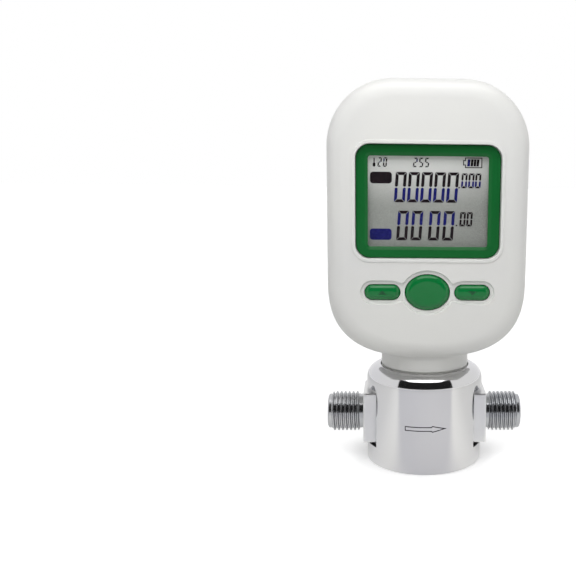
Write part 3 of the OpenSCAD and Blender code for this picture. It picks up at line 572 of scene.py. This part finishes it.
def makeArrow():
    # the outline of an arrow, drawn as a thin line
    a = arrow
    tip, half, wide = a["length"] / 2, a["shaft"] / 2, a["head"] / 2
    joint = tip - a["headLength"]
    barb = joint + a["barb"]
    outline = [(-tip, half), (-tip, -half), (joint, -half), (barb, -wide), (tip, 0), (barb, wide),
               (joint, half)]
    dense = []
    for (u, v), (nu, nv) in zip(outline, outline[1:] + outline[:1]):
        pieces = max(1, int(abs(nu - u) / a["step"]))
        dense += [(u + (nu - u) * k / pieces, v + (nv - v) * k / pieces) for k in range(pieces)]
    inner = []
    for (pu, pv), (u, v), (nu, nv) in zip(dense[-1:] + dense[:-1], dense, dense[1:] + dense[:1]):
        way = Vector((pv - v, u - pu)).normalized() + Vector((v - nv, nu - u)).normalized()
        way = way / max(a["sharpest"], way.length_squared / 2)
        inner.append((u + way.x * a["line"], v + way.y * a["line"]))
    low, high = cover["radius"] - a["sunk"], cover["radius"] + a["proud"]
    loops = ((dense, low), (dense, high), (inner, high), (inner, low))
    rings = [[roll(u, v + a["z"], radius) for u, v in loop] for loop, radius in loops]
    return loft("flowArrow", rings, "grooveDark", closed=True)


block = {
    "halfLength": 20, "half": 8.25, "axis": 15, "bore": 4, "socket": 5.23, "socketDepth": 6, "over": 1,
    "steps": 64, "edge": 0.5, "edgeSteps": 4, "sharp": 50}


def makeBlock():
    b = block
    loop = rectangle(-b["half"], b["half"], b["axis"] - b["half"], b["axis"] + b["half"])
    rings = [[(x, y, z) for y, z in loop] for x in (-b["halfLength"], b["halfLength"])]
    made = loft("flowBlockBody", rings, "blockSteel")
    deep, far = b["halfLength"] - b["socketDepth"], b["halfLength"] + b["over"]
    side = [(b["bore"], deep), (b["socket"], deep), (b["socket"], far), (0, far)]
    profile = [(r, -x) for r, x in reversed(side)] + side
    carve(made, [lathe("boreCutter", profile, "blockSteel", b["steps"], b["axis"], "x")])
    bevel(made, b["edge"], b["edgeSteps"], b["sharp"])
    return weigh(shade(settle(made), b["sharp"]))


port = {
    "start": 21.2, "pitch": 1.337, "crests": 7, "crest": 6.5785, "root": 5.72, "end": 31.759, "bore": 4,
    "seat": 14.8, "spigot": 5.2, "core": 5.62, "lip": ((0, 0.5), (0.15, 0.2), (0.5, 0)), "chamfer": 0.3,
    "step": 0.02, "sink": 0.5, "steps": 72, "along": 150, "round": 97, "sharp": 50, "threadSharp": 60}


def makePort(name, side):
    p, face = port, block["halfLength"]
    profile = [(p["bore"], p["seat"]), (p["spigot"], p["seat"]), (p["spigot"], face),
               (p["core"], face + p["step"])]
    profile += [(p["core"] - inset, p["end"] - back) for inset, back in p["lip"]]
    profile += [(p["bore"] + p["chamfer"], p["end"]), (p["bore"], p["end"] - p["chamfer"])]
    body = lathe(name + "Body", profile, "portSteel", p["steps"], block["axis"], "x" if side > 0 else "-x")
    lengths = {"Start": p["start"], "Length": p["crests"] * p["pitch"], "Pitch": p["pitch"],
               "Crest": p["crest"], "Root": p["root"], "Sink": p["sink"], "Height": block["axis"]}
    values = {key: value * mm for key, value in lengths.items()}
    values.update({"Side": float(side), "Steps Along": p["along"], "Steps Round": p["round"]})
    sleeve = grow(threadTree, name + "Thread", values, "portSteel")
    # an inner wall between the sleeve's two open ends
    reshape(sleeve, lambda solid: bmesh.ops.bridge_loops(solid, edges=rims(solid)))
    return joinPieces(name, [body, outwards(sleeve, p["threadSharp"])], p["sharp"])


mount(makeCover(), "base", "chrome_cover", "base_cover")
mount(makeArrow(), "base", "chrome_cover")
mount(makeBlock(), "base", "machined_steel", "flow_block")
mount(makePort("inletPort", -1), "base", "port_steel", "inlet_fitting")
mount(makePort("outletPort", 1), "base", "port_steel", "outlet_fitting")
print("flow meter: base made")


# head: two shells with the frame, keys and display in front and the door behind;
# a rod is its radius, the two depths it joins and its steps, a mouth what flared takes
head = {
    "half": 30.5, "cornerX": 10.5, "cornerZ": 101.5, "corner": 20, "chinZ": 61.9, "chinH": 25, "power": 2.7,
    "halfDepth": 19, "edge": 6, "wall": 2.2, "lap": 1, "seam": 0.2, "seamEdge": 0.3,
    "seamTurns": (0, 0.5, 1.05, 1.5708), "chinSteps": 48, "cornerSteps": 24, "edgeSteps": 12, "sharp": 32,
    "bosses": [(-17.5, 48.5), (17.5, 48.5), (-14, 112.5), (14, 112.5)],
    "posts": [(-23.5, 61), (23.5, 61), (-22, 105.9), (22, 105.9)],
    "rods": {"frontBoss": (3, -18, -0.25, 40), "frontPost": (2, -18, -10.5, 28),
        "frontBore": (1, -8, 1, 24), "postBore": (0.83, -14.5, -9.5, 20),
        "rearBoss": (3, 18, 0.25, 40), "pass": (1.4, -1, 15, 28)},
    "well": (14, 19, 2.3, 0.25), "wellSteps": 40}
# outer is the neck's profile as radius beyond r and height, with the groove above the cover
neck = {
    "r": 14.2, "inner": 12, "foot": 27.1, "soft": 0.2, "top": 43.5, "steps": 160,
    "outer": ((-0.3, 27.1), (-0.09, 27.19), (0, 27.4), (0, 31), (-0.55, 31.1), (-0.55, 31.75),
        (-0.1, 31.85), (0, 31.95), (0, 43), (-0.5, 43.5)),
    "fillet": 1.7, "filletSteps": 10, "bite": 0.02, "root": 0.9, "rise": 0.6, "under": 0.1,
    "lip": 11.1, "lipLow": 37.6, "lipHigh": 39.2, "lipOut": 0.8, "lipSlope": 0.3, "lipSteps": 120,
    "boreLow": 35.9, "boreHigh": 41.8, "seat": 39.21, "seatIn": 1, "half": 0.21, "away": 40, "tall": 80}
display = {
    "z": 85.2, "outer": (43.2, 33.7, 4.2), "screen": (36.1, 27, 0.8), "pocket": (38.3, 29.2, 0.8),
    "rim": ((-17.9, 2), (-15.3, 2)), "mouth": (-14.3, -19.3, 0.1, 0.3),
    "lip": ((-18, 1.25), (-19.02, 1.25), (-19.16, 1.21), (-19.25, 1.11), (-19.3, 0.89)),
    "section": {"outer": ((1.6, -14.1), (1.6, -15.25), (0, -15.32), (0, -16.75), (-0.06, -17), (-0.2, -17.15),
        (-0.4, -17.2)), "screen": ((1.1, -17.2), (0.9, -17.16), (0.15, -16.64), (0, -16.5), (0, -16)),
        "pocket": ((0, -15.99), (0, -14.1))},
    "pane": (37.5, 28.6, 0.8), "panel": (42.1, 33.2, 0.8), "steps": 10, "sharp": 30,
    "paneLevels": ((-16, -0.3), (-15.96, -0.15), (-15.85, 0), (-14.95, 0), (-14.8, -0.2)),
    "panelLevels": ((-14.1, -0.1), (-14, 0), (-11.4, 0), (-11.3, -0.1))}
# dome: inset from the key's outline and depth below its front
keys = {
    "z": 58, "spacing": 13.6, "oval": (13.4, 10.8), "pill": (10.6, 4.6), "gap": 0.2, "hole": (-15, -20),
    "front": -19.24, "back": -16.7, "sharp": 30,
    "dome": ((0, 1.1), (0.04, 0.99), (0.18, 0.84), (0.45, 0.59), (0.74, 0.35), (1, 0.19), (1.28, 0.085),
        (1.6, 0.03), (1.9, 0.008), (2.15, 0)),
    "tab": (-16.71, -15.7), "tabWide": 0.35, "tabOver": 1, "stem": (-16.2, -12.8), "stemR": 1.4,
    "stemSteps": 32, "blend": 1.5, "recess": ((-18.2, 0.9), (-18.28, 1.15), (-18.4, 1.27)),
    "recessMouth": (-18.5, -19, 1.3, 0.2), "recessSteps": 300, "crowd": 0.35, "search": (3, 26), "halvings": 36,
    "mark": {"half": 1.25, "base": 0.55, "tip": 0.7, "depths": (-19.265, -19.1)}}
door = {
    "z": 79.9, "size": (48.8, 44.8, 2.5), "plug": (47.2, 43.2, 2.5), "tray": (47.5, 43.5, 2.5),
    "trayLevels": ((15, 0), (20, 0)), "mouth": (17.6, 19, 0.15, 0.2),
    "plugLevels": ((16.8, -0.1), (16.9, 0), (17.6, 0)), "step": 17.61, "face": 19, "edge": 0.25,
    "edgeTurns": (0, 0.4, 0.8, 1.2, 1.5708), "grooves": (98.7, 96.3, 93.9), "groove": (12, 1.2, 0.4),
    "grooveLevels": ((18.54, -0.25), (18.6, -0.08)), "grooveMouth": (18.7, 19, 0, 0.12)}


def headLoop(inset):
    # the head's outline, drawn in by inset: a superellipse below, round corners above
    h = head
    p, r = 2 / h["power"], h["corner"] - inset
    wide, deep = h["half"] - inset, h["chinH"] - inset
    low = [(wide * math.sin(a) ** p, h["chinZ"] - deep * max(0.0, math.cos(a)) ** p)
           for a in quarter(h["chinSteps"])]
    loop = low + arc(h["cornerX"], h["cornerZ"], r, 0, 90, h["cornerSteps"])
    loop += arc(-h["cornerX"], h["cornerZ"], r, 90, 180, h["cornerSteps"])
    return loop + [(-x, z) for x, z in reversed(low[1:])]


def chinHeight(x, y):
    # height of the head's underside
    h = head
    out = abs(y) - (h["halfDepth"] - h["edge"])
    inset = 0 if out <= 0 else h["edge"] - math.sqrt(max(0.0, h["edge"] ** 2 - out * out))
    share = min(1.0, abs(x) / (h["half"] - inset))
    return h["chinZ"] - (h["chinH"] - inset) * (1 - share ** h["power"]) ** (1 / h["power"])


def bowl(name, way, inside):
    # half of the case as a solid, or the hollow in it
    h = head
    r = h["edge"] - (h["wall"] if inside else 0)
    levels = [(way * (h["halfDepth"] - h["edge"] + r * math.cos(a)), headLoop(h["edge"] - r * math.sin(a)))
              for a in quarter(h["edgeSteps"])]
    if inside:
        levels.append((-way * h["lap"], headLoop(h["wall"])))
    else:
        soft = rounding(h["seamTurns"], h["seamEdge"])
        levels += [(way * (h["seam"] + back), headLoop(inset)) for back, inset in soft]
    return stack(name, levels)


def bend(t, a, b, c):
    # from a to c, pulled towards b
    return (1 - t) ** 2 * a + 2 * t * (1 - t) * b + t * t * c


def neckSolid(name, way):
    # half of the neck, with its inner lip and the concave blend that carries it into the chin
    n = neck
    profile = [(n["inner"], n["foot"] + n["soft"]), (n["inner"] + n["soft"], n["foot"])]
    profile += [(n["r"] + out, z) for out, z in n["outer"]] + [(n["inner"], n["top"])]
    tube = lathe(name, profile, steps=n["steps"])
    far, root = n["r"] + n["fillet"], n["r"] - n["root"]
    rings = []
    for a in circle(n["steps"]):
        c, s = math.cos(a), math.sin(a)
        corner = chinHeight(n["r"] * c, n["r"] * s)
        low, end = corner - n["fillet"], chinHeight(far * c, far * s) + n["bite"]
        steps = [i / n["filletSteps"] for i in range(n["filletSteps"] + 1)]
        section = [(bend(t, n["r"] - n["bite"], n["r"], far), bend(t, low, corner, end)) for t in steps]
        section += [(far, end + n["rise"]), (root, corner + n["root"]), (root, low + n["under"])]
        rings.append([(r * c, r * s, z) for r, z in section])
    blend = loft(name + "Blend", rings, "whiteCase", closed=True)
    back = n["inner"] + n["lipOut"]
    profile = [(n["lip"], n["lipLow"]), (back, n["lipLow"] - n["lipSlope"]),
               (back, n["lipHigh"] + n["lipSlope"]), (n["lip"], n["lipHigh"])]
    carve(tube, [blend, lathe(name + "Lip", profile, steps=n["lipSteps"])], "UNION")
    other = rectangle(-n["away"], n["away"], 0, n["tall"])
    return carve(tube, [stack(name + "Half", [(y, other) for y in (-way * n["away"], way * n["half"])])])


def neckCuts():
    # room for the collar inside the lip and above it
    n = neck
    low, high, start = n["boreLow"], n["boreHigh"], n["lip"] - n["seatIn"]
    bore = [(0, low), (n["lip"], low), (n["lip"], high), (0, high)]
    seat = [(start, n["seat"]), (n["inner"], n["seat"]), (n["inner"], high), (start, high)]
    profiles = {"neckBore": bore, "neckSeat": seat}
    return [lathe(name, profile, steps=n["lipSteps"]) for name, profile in profiles.items()]


def rods(name, places):
    r, y0, y1, steps = head["rods"][name]
    return [stack(name, [(y, disc(x, z, steps)(r)) for y in (y0, y1)]) for x, z in places]


def keyAt(side):
    # outline of the middle key (0) or a side key, wider all round by a margin
    k = keys
    w, h = k["pill"] if side else k["oval"]
    shape = pillLoop if side else ovalLoop
    return lambda m: shape(w + 2 * m, h + 2 * m, side * k["spacing"], k["z"])


def recessLoop(reach):
    # outline round the three keys at a given reach, concave corners blended
    k = keys
    a, b = (size / 2 + reach for size in k["oval"])
    half, end = (k["pill"][0] - k["pill"][1]) / 2, k["pill"][1] / 2 + reach

    def far(x, z):
        one = math.hypot(x / a, z / b)
        two = max(1e-6, math.hypot(x / a ** 2, z / b ** 2))
        oval = one * (one - 1) / two
        pill = math.hypot(max(0.0, abs(abs(x) - k["spacing"]) - half), z) - end
        mixed = max(0.0, min(1.0, 0.5 + 0.5 * (pill - oval) / k["blend"]))
        return pill + (oval - pill) * mixed - k["blend"] * mixed * (1 - mixed)

    loop = []
    for turn in circle(k["recessSteps"]):
        # more points towards the pill ends
        turn -= k["crowd"] * math.sin(2 * turn)
        c, s = math.cos(turn), math.sin(turn)
        low, high = k["search"]
        for _ in range(k["halvings"]):
            mid = (low + high) / 2
            low, high = (mid, high) if far(mid * c, mid * s) < 0 else (low, mid)
        loop.append((low * c, k["z"] + low * s))
    return loop


def makeShell(side, way, adds, posts, cuts):
    # hollowed, joined with its neck and bosses, then cut
    made = bowl(side + "Case", way, False)
    carve(made, [bowl(side + "Hollow", way, True)])
    adds += [neckSolid(side + "Neck", way)] + rods(side + "Boss", head["bosses"]) + posts
    carve(made, adds, "UNION")
    carve(made, cuts + neckCuts())
    return settle(weigh(shade(made, head["sharp"])))


def makeFront():
    d, k = display, keys
    adds = [slab("frontRim", d["outer"], d["z"], d["rim"]), slab("frontLip", d["outer"], d["z"], d["lip"])]
    recess = [(y, recessLoop(margin)) for y, margin in k["recess"]] + flared(recessLoop, *k["recessMouth"])
    cuts = [stack("frameMouth", flared(slabAt(*d["outer"], d["z"]), *d["mouth"])), stack("keyRecess", recess)]
    cuts += [stack("keyHole", [(y, keyAt(side)(k["gap"])) for y in k["hole"]]) for side in (0, -1, 1)]
    cuts += rods("frontBore", head["bosses"]) + rods("postBore", head["posts"])
    return makeShell("front", -1, adds, rods("frontPost", head["posts"]), cuts)


def makeRear():
    d = door
    cuts = [slab("trayMouth", d["tray"], d["z"], d["trayLevels"]),
            stack("doorMouth", flared(slabAt(*d["size"], d["z"]), *d["mouth"]))]
    cuts += [stack("well", flared(disc(x, z, head["wellSteps"]), *head["well"])) for x, z in head["bosses"]]
    return makeShell("rear", 1, [], [], cuts + rods("pass", head["bosses"]))


def makeFrame():
    # a ring with a rounded outer edge, sloping in to the window
    d = display
    rings = []
    for size, levels in d["section"].items():
        at = slabAt(*d[size], d["z"], d["steps"])
        rings += [[(x, y, z) for x, z in at(margin)] for margin, y in levels]
    return settle(weigh(loft("frameRing", rings, "frameGreen", closed=True, sharp=d["sharp"])))


def makeWindow():
    d = display
    return shade(slab("windowPane", d["pane"], d["z"], d["paneLevels"], "clearWindow"), d["sharp"])


def makeKey(name, side):
    k = keys
    at, x, z = keyAt(side), side * k["spacing"], k["z"]
    w, h = k["pill"] if side else k["oval"]
    # a soft slope all round that runs out into a slight crown
    levels = [(k["back"], at(0))] + [(k["front"] + deep, at(-inset)) for inset, deep in k["dome"]]
    made = stack(name, levels, "keyGreen")
    wide, high = w * k["tabWide"], h / 2 + k["tabOver"]
    flange = rectangle(x - wide, x + wide, z - high, z + high)
    tab = stack(name + "Tab", [(y, flange) for y in k["tab"]], "keyGreen")
    stem = stack(name + "Stem", [(y, disc(x, z, k["stemSteps"])(k["stemR"])) for y in k["stem"]], "keyGreen")
    carve(made, [tab, stem], "UNION")
    return settle(weigh(shade(made, k["sharp"])))


mount(makeFront(), "head", "white_case", "front_shell")
mount(makeRear(), "head", "white_case", "rear_shell")
mount(makeFrame(), "head", "green_frame", "display_frame")
mount(makeWindow(), "head", "clear_window", "display_window")
print("flow meter: shells and frame made")

caps = (("keyLeftCap", "key_left", -1), ("keyRightCap", "key_right", 1), ("keyCentreCap", "key_centre", 0))
for name, body, side in caps:
    mount(makeKey(name, side), body, "green_keys", body)
for _, body, side in caps[:2]:
    # a small triangle, pointing up on the left and down on the right
    m, x, z = keys["mark"], side * keys["spacing"], keys["z"]
    base = z + side * m["base"]
    triangle = [(x - m["half"], base), (x + m["half"], base), (x, z - side * m["tip"])]
    mount(stack(body + "Mark", [(y, triangle) for y in m["depths"]], "markGreen"), body, "green_keys")
print("flow meter: keys made")


# the display's face, drawn on a sheet that is across units wide and down units high
figures = {"0": "abcdef", "2": "abged", "5": "afgcd"}
sheet = {
    "left": 190, "top": 175, "across": 1190, "down": 897, "gap": 4, "depths": (-14.16, -14.08), "corner": 6,
    # signs, their left ends, width, top, bottom, lean, thickness and the bars in navy
    "rows": (("00000", (445, 575, 705, 835, 965), 110, 332, 633, 20, 30, "ce"),
        ("000", (1113, 1183, 1250), 58, 340, 487, 8, 19, "ce"),
        ("0000", (470, 612, 787, 930), 110, 717, 1015, 20, 30, "bf"),
        ("00", (1103, 1172), 58, 727, 870, 8, 19, ""),
        ("20", (282, 335), 38, 190, 283, 8, 13, "gf"),
        ("255", (632, 690, 748), 42, 190, 283, 8, 13, "b")),
    # lozenges and the thermometer sign, as left, top, right, bottom and corner
    "pads": {"inkBlack": ((210, 332, 425, 447, 30), (236, 242, 262, 282, 12), (244, 194, 255, 250, 5)),
        "inkNavy": ((207, 898, 425, 1012, 30),)},
    # points and the battery sign, as left, top, right, bottom and lean
    "bars": {"inkBlack": ((1088, 475, 1102, 489, 0), (1068, 855, 1082, 869, 0),
        (1205, 200, 1229, 270, 6), (1234, 200, 1258, 270, 6), (1263, 200, 1287, 270, 6),
        (1150, 183, 1322, 192, 0), (1150, 278, 1322, 287, 0), (1313, 192, 1321.6, 278, 0),
        (1150.4, 192, 1159, 218, 0), (1150.4, 252, 1159, 278, 0), (1140, 209, 1150, 218, 0),
        (1140, 252, 1150, 261, 0), (1131, 208.6, 1140, 261.4, 0)),
        "inkNavy": ((1171, 200, 1199, 270, 6),)}}


def lcd(x, y):
    # a point of the sheet on the screen
    s, (w, h, _) = sheet, display["screen"]
    return ((x - s["left"]) / s["across"] * w - w / 2, display["z"] + h / 2 - (y - s["top"]) / s["down"] * h)


def segment(which, b, w, top, bottom, slant, t):
    # one bar of a figure: top left, top and middle are drawn, the others are turned from them
    g, h = sheet["gap"], bottom - top
    m = h / 2
    side = [(0, h - g), (t, h - t - g * 0.8), (t, m + t * 0.45), (t * 0.5, m + g * 0.6), (0, m + t * 0.35)]
    cap = [(g, h), (w - g, h), (w - t - g * 0.3, h - t), (t + g * 0.3, h - t)]
    middle = [(t * 0.6 + g, m), (t + g, m + t * 0.5), (w - t - g, m + t * 0.5), (w - t * 0.6 - g, m),
              (w - t - g, m - t * 0.5), (t + g, m - t * 0.5)]
    shape = {"a": cap, "d": cap, "g": middle}.get(which, side)
    if which in "bc":
        shape = [(w - u, v) for u, v in shape]
    if which in "cde":
        shape = [(u, h - v) for u, v in shape]
    return [lcd(b + u + slant * v / h, bottom - v) for u, v in shape]


def lozenge(x0, y0, x1, y1, r):
    loop = roundedLoop(x1 - x0, y1 - y0, r, sheet["corner"], (x0 + x1) / 2, (y0 + y1) / 2)
    return [lcd(x, y) for x, y in loop]


def bar(x0, y0, x1, y1, lean):
    return [lcd(x0, y1), lcd(x1, y1), lcd(x1 + lean, y0), lcd(x0 + lean, y0)]


def makeFigures():
    shapes = []
    for signs, starts, w, top, bottom, slant, t, navy in sheet["rows"]:
        for sign, b in zip(signs, starts):
            for which in figures[sign]:
                tone = "inkNavy" if which in navy else "inkBlack"
                shapes.append((tone, segment(which, b, w, top, bottom, slant, t)))
    for draw, table in ((lozenge, sheet["pads"]), (bar, sheet["bars"])):
        shapes += [(tone, draw(*numbers)) for tone, rows in table.items() for numbers in rows]
    plates = [stack("plate", [(y, shape) for y in sheet["depths"]], tone) for tone, shape in shapes]
    return joinPieces("displayFigures", plates, display["sharp"])


displayPanel = slab("displayPanel", display["panel"], display["z"], display["panelLevels"], "displayGrey")
mount(displayPanel, "head", "display_grey", "lcd_module")
mount(makeFigures(), "head", "display_grey")
print("flow meter: display made")


def makeDoor():
    # battery door, with finger grooves
    d = door
    at, plug = slabAt(*d["size"], d["z"]), slabAt(*d["plug"], d["z"])
    levels = [(y, plug(margin)) for y, margin in d["plugLevels"]] + [(d["step"], at(0))]
    levels += [(d["face"] - back, at(-inset)) for back, inset in rounding(d["edgeTurns"], d["edge"])]
    cuts = []
    for z in d["grooves"]:
        groove = slabAt(*d["groove"], z)
        levelsIn = [(y, groove(margin)) for y, margin in d["grooveLevels"]]
        cuts.append(stack("groove", levelsIn + flared(groove, *d["grooveMouth"])))
    made = carve(stack("doorPanel", levels), cuts)
    return settle(weigh(shade(made, head["sharp"])))


mount(makeDoor(), "battery_door", "white_case", "battery_door")

# screws, one of each set out with geometry nodes: head from low to high, shank to end, core to tip
screws = {
    "shellScrew": {"along": "y", "r": 2.2, "low": 14, "high": 15.8, "end": 0.5, "core": 0.97, "tip": -8},
    "baseScrew": {"along": "-z", "r": 2.5, "low": -1.8, "high": -0.2, "end": -8, "core": 1.1, "tip": -9.75},
    "soft": 0.05, "edge": ((0, 0.4), (0.1, 0.15), (0.35, 0.05)), "crown": 0.45, "cross": (0.36, 1.25),
    "deep": 0.7, "over": 1, "shank": 1.25, "bite": 0.02, "taper": 0.3, "point": 0.25, "steps": (48, 32)}


def crossHead(name):
    # a head with a cross in its far side, on a shank and core
    h, s = screws, screws[name]
    along, r, low, high, core, tip = (s[key] for key in ("along", "r", "low", "high", "core", "tip"))
    profile = [(0, low), (r - h["soft"], low), (r, low + h["soft"])]
    profile += [(r - inset, high - back) for inset, back in h["edge"]] + [(r * h["crown"], high), (0, high)]
    made = lathe(name, profile, "screwSteel", h["steps"][0], along=along)
    for w, d in (h["cross"], h["cross"][::-1]):
        cross = rectangle(-r * w / 2, r * w / 2, -r * d / 2, r * d / 2)
        rings = [[aimed(along, u, v, y) for u, v in cross] for y in (high - h["deep"], high + h["over"])]
        carve(made, [loft("cross", rings, "screwSteel")])
    start, end = low + h["bite"], s["end"]
    shaft = [(0, start), (h["shank"], start), (h["shank"], end), (core, end - h["taper"]),
             (core, tip + h["taper"]), (core - h["point"], tip), (0, tip)]
    return joinPieces(name, [made, lathe(name + "Stem", shaft, "screwSteel", h["steps"][1], along=along)])


shellPlaces = [(x, 0, z) for x, z in head["bosses"]]
shellSet = repeat("shellScrewSet", crossHead("shellScrew"), shellPlaces, "screwSteel")
mount(shellSet, "head", "fastener_steel", "shell_screws")
baseSet = repeat("baseScrewSet", crossHead("baseScrew"), [(0, -5, 0), (0, 5, 0)], "screwSteel")
mount(baseSet, "base", "fastener_steel", "base_screws")

# cells, every other one turned round; corner is inset and distance from the end
cell = {
    "r": 5.25, "half": 22.25, "nub": 1.9, "nubL": 0.8, "corner": ((0.6, 0), (0.12, 0.12), (0, 0.5)),
    "slope": 0.6, "rise": 0.1, "soft": 0.2, "steps": 64, "y": 11.15, "z": (63.7, 74.5, 85.3, 96.1)}


def makeCells(name, start, along, material):
    c = cell
    end, top = c["half"] - c["nubL"], c["half"]
    profile = [(0, -top)] + [(c["r"] - inset, -top + back) for inset, back in c["corner"]]
    profile += [(c["r"] - inset, end - back) for inset, back in reversed(c["corner"])]
    profile += [(c["nub"] + c["slope"], end - c["rise"]), (c["nub"], end - c["rise"]),
                (c["nub"], top - c["soft"]), (c["nub"] - c["soft"], top), (0, top)]
    one = lathe(name + "One", profile, material, c["steps"], along=along)
    return repeat(name, one, [(0, c["y"], z) for z in c["z"][start::2]], material)


cells = [makeCells("cells", 0, "x", "cellJacket"), makeCells("cellsBack", 1, "-x", "cellTurned")]
mount(joinPieces("cellSet", cells), "head", "cell_jacket", "battery_cells")
print("flow meter: door, screws and cells made")

# finishes of the CAD nodes that stay
kept = {
    "plateSteel": "base_plate swivel_plate", "sealRubber": "port_seals sensor_seal shell_gasket lcd_strips",
    "screwSteel": "inlet_screen laminar_element sensor_screws swivel_plate_screws stop_pin board_screws",
    "darkPlastic": "sensor_body sensor_header battery_tray",
    "chipBlack": "sensor_chip board_chips key_switches", "circuitBoard": "sensor_board main_board",
    "ivoryPlastic": "sensor_plug thrust_washer neck_bush board_socket", "whiteCase": "neck_collar",
    "cableJacket": "sensor_cable", "springBrass": "battery_contacts", "leadRed": "battery_leads"}
for name, nodes in kept.items():
    for node in nodes.split():
        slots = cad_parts[node].data.materials
        if not slots:
            slots.append(finishes[name])
        for i in range(len(slots)):
            slots[i] = finishes[name]
print("flow meter: inner parts finished")


# camera, stage and lamps
view = {
    "sensor": 36, "lens": 47.19, "shift": -0.2384, "from": (-8.51, -243.8, 94.3),
    "turns": ((-2, "Z"), (81.2, "X"), (0.6, "Z"))}
# a lamp is its place, target, width, height and power
stage = {
    "floor": 4000, "drop": 0.05, "fill": 0.18,
    # in glow, foot is a painted shadow: the paper's dimmer glow close round the base
    "glow": {"foot": 0.36, "near": 0.66, "far": 0.92, "spread": 1.317, "offset": 0.0139,
        "ahead": (0.17, 0.17, 0.2), "bright": (0.47, 0.47, 0.45), "beside": (0.32, 0.32, 0.31),
        # metres over which one tone runs into the next
        "spans": {"foot": (0.018, 0.03), "paper": (0.1, 0.9), "beside": (0.008, 0.07),
            "strip": (-0.009, 0.011), "seen": (0.25, 0.8)}},
    "screen": {"r": 380, "steps": 24, "edges": ((38, 53), (170, 54.5), (314, 60), (408, 65), (610, 79))},
    "lamps": {"mirrorBox": ((0, -130, 560), (0, -130, 0), 540, 360, 1.15),
        "topBox": ((0, -130, 560), (0, -130, 0), 540, 360, 1),
        "frontBox": ((-8, -128, 195), (0, -19, 105), 150, 150, 0.182),
        "leftBox": ((-430, -230, 330), (0, -20, 70), 420, 420, 0.44),
        "rightBox": ((470, -150, 250), (0, -20, 70), 420, 420, 0.43),
        "backBox": ((180, 430, 280), (0, 20, 70), 460, 400, 0.55)}}


def makeCamera():
    lens = bpy.data.cameras.new("camera")
    lens.sensor_width, lens.lens, lens.shift_x = view["sensor"], view["lens"], view["shift"]
    made = place("camera", lens)
    aim = Matrix.Translation(Vector(view["from"]) * mm)
    for angle, axis in view["turns"]:
        aim = aim @ Matrix.Rotation(math.radians(angle), 4, axis)
    made.matrix_world = aim
    bpy.context.scene.camera = made


def paperBuild(graph):
    # a glow that only camera, mirror and glass rays see, with a painted shadow close round the base
    g, spans = stage["glow"], stage["glow"]["spans"]
    x, y = graph.axis("X"), graph.axis("Y")
    out = (x * x + y * y).one("SQRT")
    far = (g["far"],) * 3
    # painted shadow: the glow dims to the foot tone close round the base
    foot = graph.mix(out.ramp(*spans["foot"]), (g["foot"],) * 3, (g["near"],) * 3)
    paperWithPaintedShadow = graph.mix(out.ramp(*spans["paper"]), foot, far)
    # the chrome sees a duller strip straight ahead and brighter paper at the sides
    side = x.one("ABSOLUTE") + y * g["spread"] + g["offset"]
    beside = graph.mix(side.ramp(*spans["beside"]), g["bright"], g["beside"])
    strip = graph.mix(side.ramp(*spans["strip"]), g["ahead"], beside)
    seen = graph.mix(out.ramp(*spans["seen"]), strip, far)
    direct = graph.mix(graph.ray("Camera") + graph.ray("Transmission"), (0, 0, 0), paperWithPaintedShadow)
    return {"Emission Color": graph.mix(graph.ray("Glossy"), direct, seen)}


def makeStage():
    matt = {"Roughness": 0.9, "Specular_IOR_Level": 0.1}
    finish("floorPaper", paperBuild, Base_Color=(0.8, 0.8, 0.8, 1), Emission_Strength=1.0, **matt)
    finish("roomDark", Base_Color=(0.03, 0.03, 0.03, 1), **matt)
    reach, s = stage["floor"], stage["screen"]
    corners = [(x, y, -stage["drop"]) for x, y in rectangle(-reach, reach, -reach, reach)]
    addPiece("floor", corners, [(0, 1, 2, 3)], "floorPaper")
    # dark room behind the camera, which the chrome shows as its black band
    points, faces, count = [], [], s["steps"]
    for k, (z, half) in enumerate(s["edges"]):
        turns = [math.radians(half * (2 * i / count - 1)) for i in range(count + 1)]
        points += [(s["r"] * math.sin(a), -s["r"] * math.cos(a), z) for a in turns]
        if k:
            a, b = (k - 1) * (count + 1), k * (count + 1)
            faces += [(a + i, a + i + 1, b + i + 1, b + i) for i in range(count)]
    room = addPiece("darkRoom", points, faces, "roomDark", 0)
    room.visible_camera = room.visible_diffuse = room.visible_shadow = False


def makeLamps():
    for name, (start, target, w, h, power) in stage["lamps"].items():
        lamp = bpy.data.lights.new(name, "AREA")
        lamp.shape, lamp.size, lamp.size_y, lamp.energy = "RECTANGLE", w * mm, h * mm, power
        made = place(name, lamp)
        at = Vector(start) * mm
        aim = (Vector(target) * mm - at).to_track_quat("-Z", "Y").to_matrix().to_4x4()
        made.matrix_world = Matrix.Translation(at) @ aim
        made.visible_camera = False
        # metal sees one box alone, and the others light what is matt
        made.visible_glossy = name == "mirrorBox"
        made.visible_diffuse = name != "mirrorBox"


def makeWorld():
    # white to camera, mirror and glass rays, a dim fill to the rest
    world = bpy.data.worlds.new("studio")
    bpy.context.scene.world = world
    world.use_nodes = True
    graph = Graph(world.node_tree)
    back = next(n for n in graph.tree.nodes if n.type == "BACKGROUND")
    seen = graph.ray("Camera") + graph.ray("Glossy") + graph.ray("Transmission")
    tone = graph.mix(seen, (stage["fill"],) * 3, (1, 1, 1))
    graph.tree.links.new(tone.socket, back.inputs["Color"])


bpy.context.scene.view_settings.view_transform = "Standard"
makeCamera()
makeStage()
makeLamps()
makeWorld()
print("flow meter: stage made")
